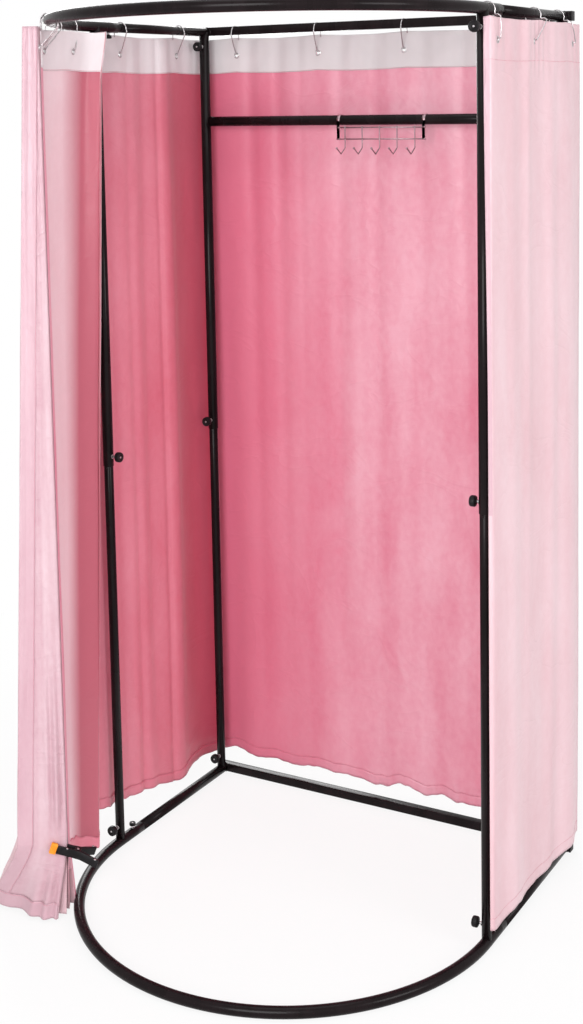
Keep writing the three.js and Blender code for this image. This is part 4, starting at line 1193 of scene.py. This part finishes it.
def clampHalf(name, side, body, node, ears):
    rivets = [moved(turned(rivetProfile, 16, 1), Matrix.Translation((x, side * y, half)))
              for x, y in ((-clamp["handle"] + 0.008, clamp["spread"] + 0.0035), (0.026, clamp["gap"] + 0.0045))]
    shape = joined(clampArm(side), *(clampEar(low, high) for low, high in ears), *rivets)
    addPiece(name, moved(shape, clampBed), "plastic wire", body, node)


ear = clamp["earThickness"]
clampHalf("clampRearArm", -1, "leading_pleat", "clamp_rear_arm", [(-half, -half + ear), (half - ear, half)])
clampHalf("clampFrontArm", 1, "clamp_jaw", "clamp_front_arm",
          [(-half + ear + clamp["play"], half - ear - clamp["play"])])
for side, hand, body in ((-1, "rear", "leading_pleat"), (1, "front", "clamp_jaw")):
    depth = clamp["gap"] + clamp["tip"] - clamp["bite"]
    middle = (clamp["jaw"] - clamp["pad"] / 2, side * (clamp["bite"] + depth / 2), 0.0)
    ribs = [roundedBox((0.0012, 0.0010, clamp["padHeight"] - 0.006),
                       (clamp["jaw"] - 0.0025 - i * 0.0026, side * (clamp["bite"] + depth), 0.0), 0.0004, 1)
            for i in range(5)]
    shape = joined(roundedBox((clamp["pad"], depth, clamp["padHeight"]), middle, 0.0022, 4), *ribs)
    addPiece(f"clamp{hand.capitalize()}Pad", moved(shape, clampBed), "orange", body, f"clamp_{hand}_pad")
pin, reach = clamp["pin"], half + 0.0008
shape = turned([(0.0, -reach), (pin * 1.2, -reach + 0.0002), (pin * 1.2, -half), (pin, -half), (pin, half),
                (pin * 1.2, half), (pin * 1.2, reach - 0.0002), (0.0, reach)], 20)
addPiece("clampPin", moved(joined(shape), clampBed), "wire", "leading_pleat", "clamp_pin")
print("clamp made")


# Camera, lights and floor

view = {"place": (1.6936, -3.3757, 1.8144), "yaw": 29.925, "pitch": -6.194, "roll": -1.051, "focal": 1534.6,
        "height": 1024, "centreY": 265, "sensor": 36.0}
camera = bpy.data.objects.new("camera", bpy.data.cameras.new("camera"))
bpy.context.scene.collection.objects.link(camera)
bpy.context.scene.camera = camera
yaw, pitch, roll = (math.radians(view[key]) for key in ("yaw", "pitch", "roll"))
forward = Vector((-math.sin(yaw) * math.cos(pitch), math.cos(yaw) * math.cos(pitch), math.sin(pitch)))
right = Vector((math.cos(yaw), math.sin(yaw), 0.0))
up = right.cross(forward)
axes = (right * math.cos(roll) + up * math.sin(roll), up * math.cos(roll) - right * math.sin(roll), -forward)
camera.matrix_world = Matrix.Translation(view["place"]) @ Matrix(axes).transposed().to_4x4()
camera.data.sensor_fit, camera.data.sensor_width = "AUTO", view["sensor"]
camera.data.lens = view["focal"] * view["sensor"] / view["height"]
camera.data.shift_y = -(view["height"] / 2 - view["centreY"]) / view["height"]
camera.data.clip_end = 60.0

lamps = {
    "keyLight": {"place": (1.1, -4.9, 2.3), "target": (0.0, -0.3, 1.0), "power": 165.0, "size": 2.2},
    "sideLight": {"place": (4.4, -1.2, 2.1), "target": (0.2, -0.4, 1.0), "power": 80.0, "size": 1.7},
    "rearLight": {"place": (-3.3, 3.6, 2.5), "target": (-0.1, -0.3, 1.0), "power": 150.0, "size": 2.6},
    "topLight": {"place": (0.2, -0.6, 4.4), "target": (0.0, -0.4, 0.8), "power": 30.0, "size": 2.2},
}
for name, lamp in lamps.items():
    light = bpy.data.lights.new(name, "AREA")
    light.energy, light.size, light.shape = lamp["power"], lamp["size"], "SQUARE"
    holder = bpy.data.objects.new(name, light)
    holder.location = lamp["place"]
    holder.rotation_euler = (Vector(lamp["target"]) - Vector(lamp["place"])).to_track_quat("-Z", "Y").to_euler()
    bpy.context.scene.collection.objects.link(holder)

studio = {"world": 0.42, "floor": (0.9, 0.9, 0.9, 1.0), "middle": (0.0, -0.45, 0.0), "whiteFrom": 1.0, "whiteTo": 2.2,
          "nearWhite": 0.85, "white": (1.0, 1.0, 1.0, 1.0)}


# where the camera, metal or glass sees the studio rather than being lit by it
def seenWhite(shader):
    rays = [shader.node("ShaderNodeLightPath", None, None, f"Is {kind} Ray")
            for kind in ("Camera", "Glossy", "Transmission")]
    return (rays[0] + rays[1] + rays[2]).kept()


bpy.context.scene.world = bpy.data.worlds.new("studioWorld")
shader = Shader(bpy.context.scene.world)
soft, white = (shader.node("ShaderNodeBackground", None, {"Color": studio["white"], "Strength": strength})
               for strength in (studio["world"], 1.0))
shader.output(shader.node("ShaderNodeMixShader", None, {0: seenWhite(shader), 1: soft, 2: white}), "World")

# the floor keeps the shadow near the booth and fades to the white background away from it
shader = newShader("paleFloor")
away = shader.node("ShaderNodeVectorMath", {"operation": "DISTANCE"}, {0: shader.place(), 1: studio["middle"]}, "Value")
fade = ((away - studio["whiteFrom"]) / (studio["whiteTo"] - studio["whiteFrom"])).kept()
matte = shader.node("ShaderNodeBsdfPrincipled", None,
                    {"Base Color": studio["floor"], "Roughness": 0.9, "Specular IOR Level": 0.1})
glow = shader.node("ShaderNodeEmission", None, {"Color": studio["white"], "Strength": 1.0})
whiteShare = seenWhite(shader) * (fade * (1.0 - studio["nearWhite"]) + studio["nearWhite"])
shader.output(shader.node("ShaderNodeMixShader", None, {0: whiteShare, 1: matte, 2: glow}))
bm = bmesh.new()
bmesh.ops.create_grid(bm, x_segments=1, y_segments=1, size=14.0)
bmesh.ops.translate(bm, verts=bm.verts, vec=(0.0, 0.0, -0.0006))
floorMesh = bpy.data.meshes.new("floor")
bm.to_mesh(floorMesh)
bm.free()
floor = bpy.data.objects.new("floor", floorMesh)
bpy.context.scene.collection.objects.link(floor)
floorMesh.materials.append(shader.owner)
bpy.context.scene.view_settings.view_transform = "Standard"
print("camera and light made")
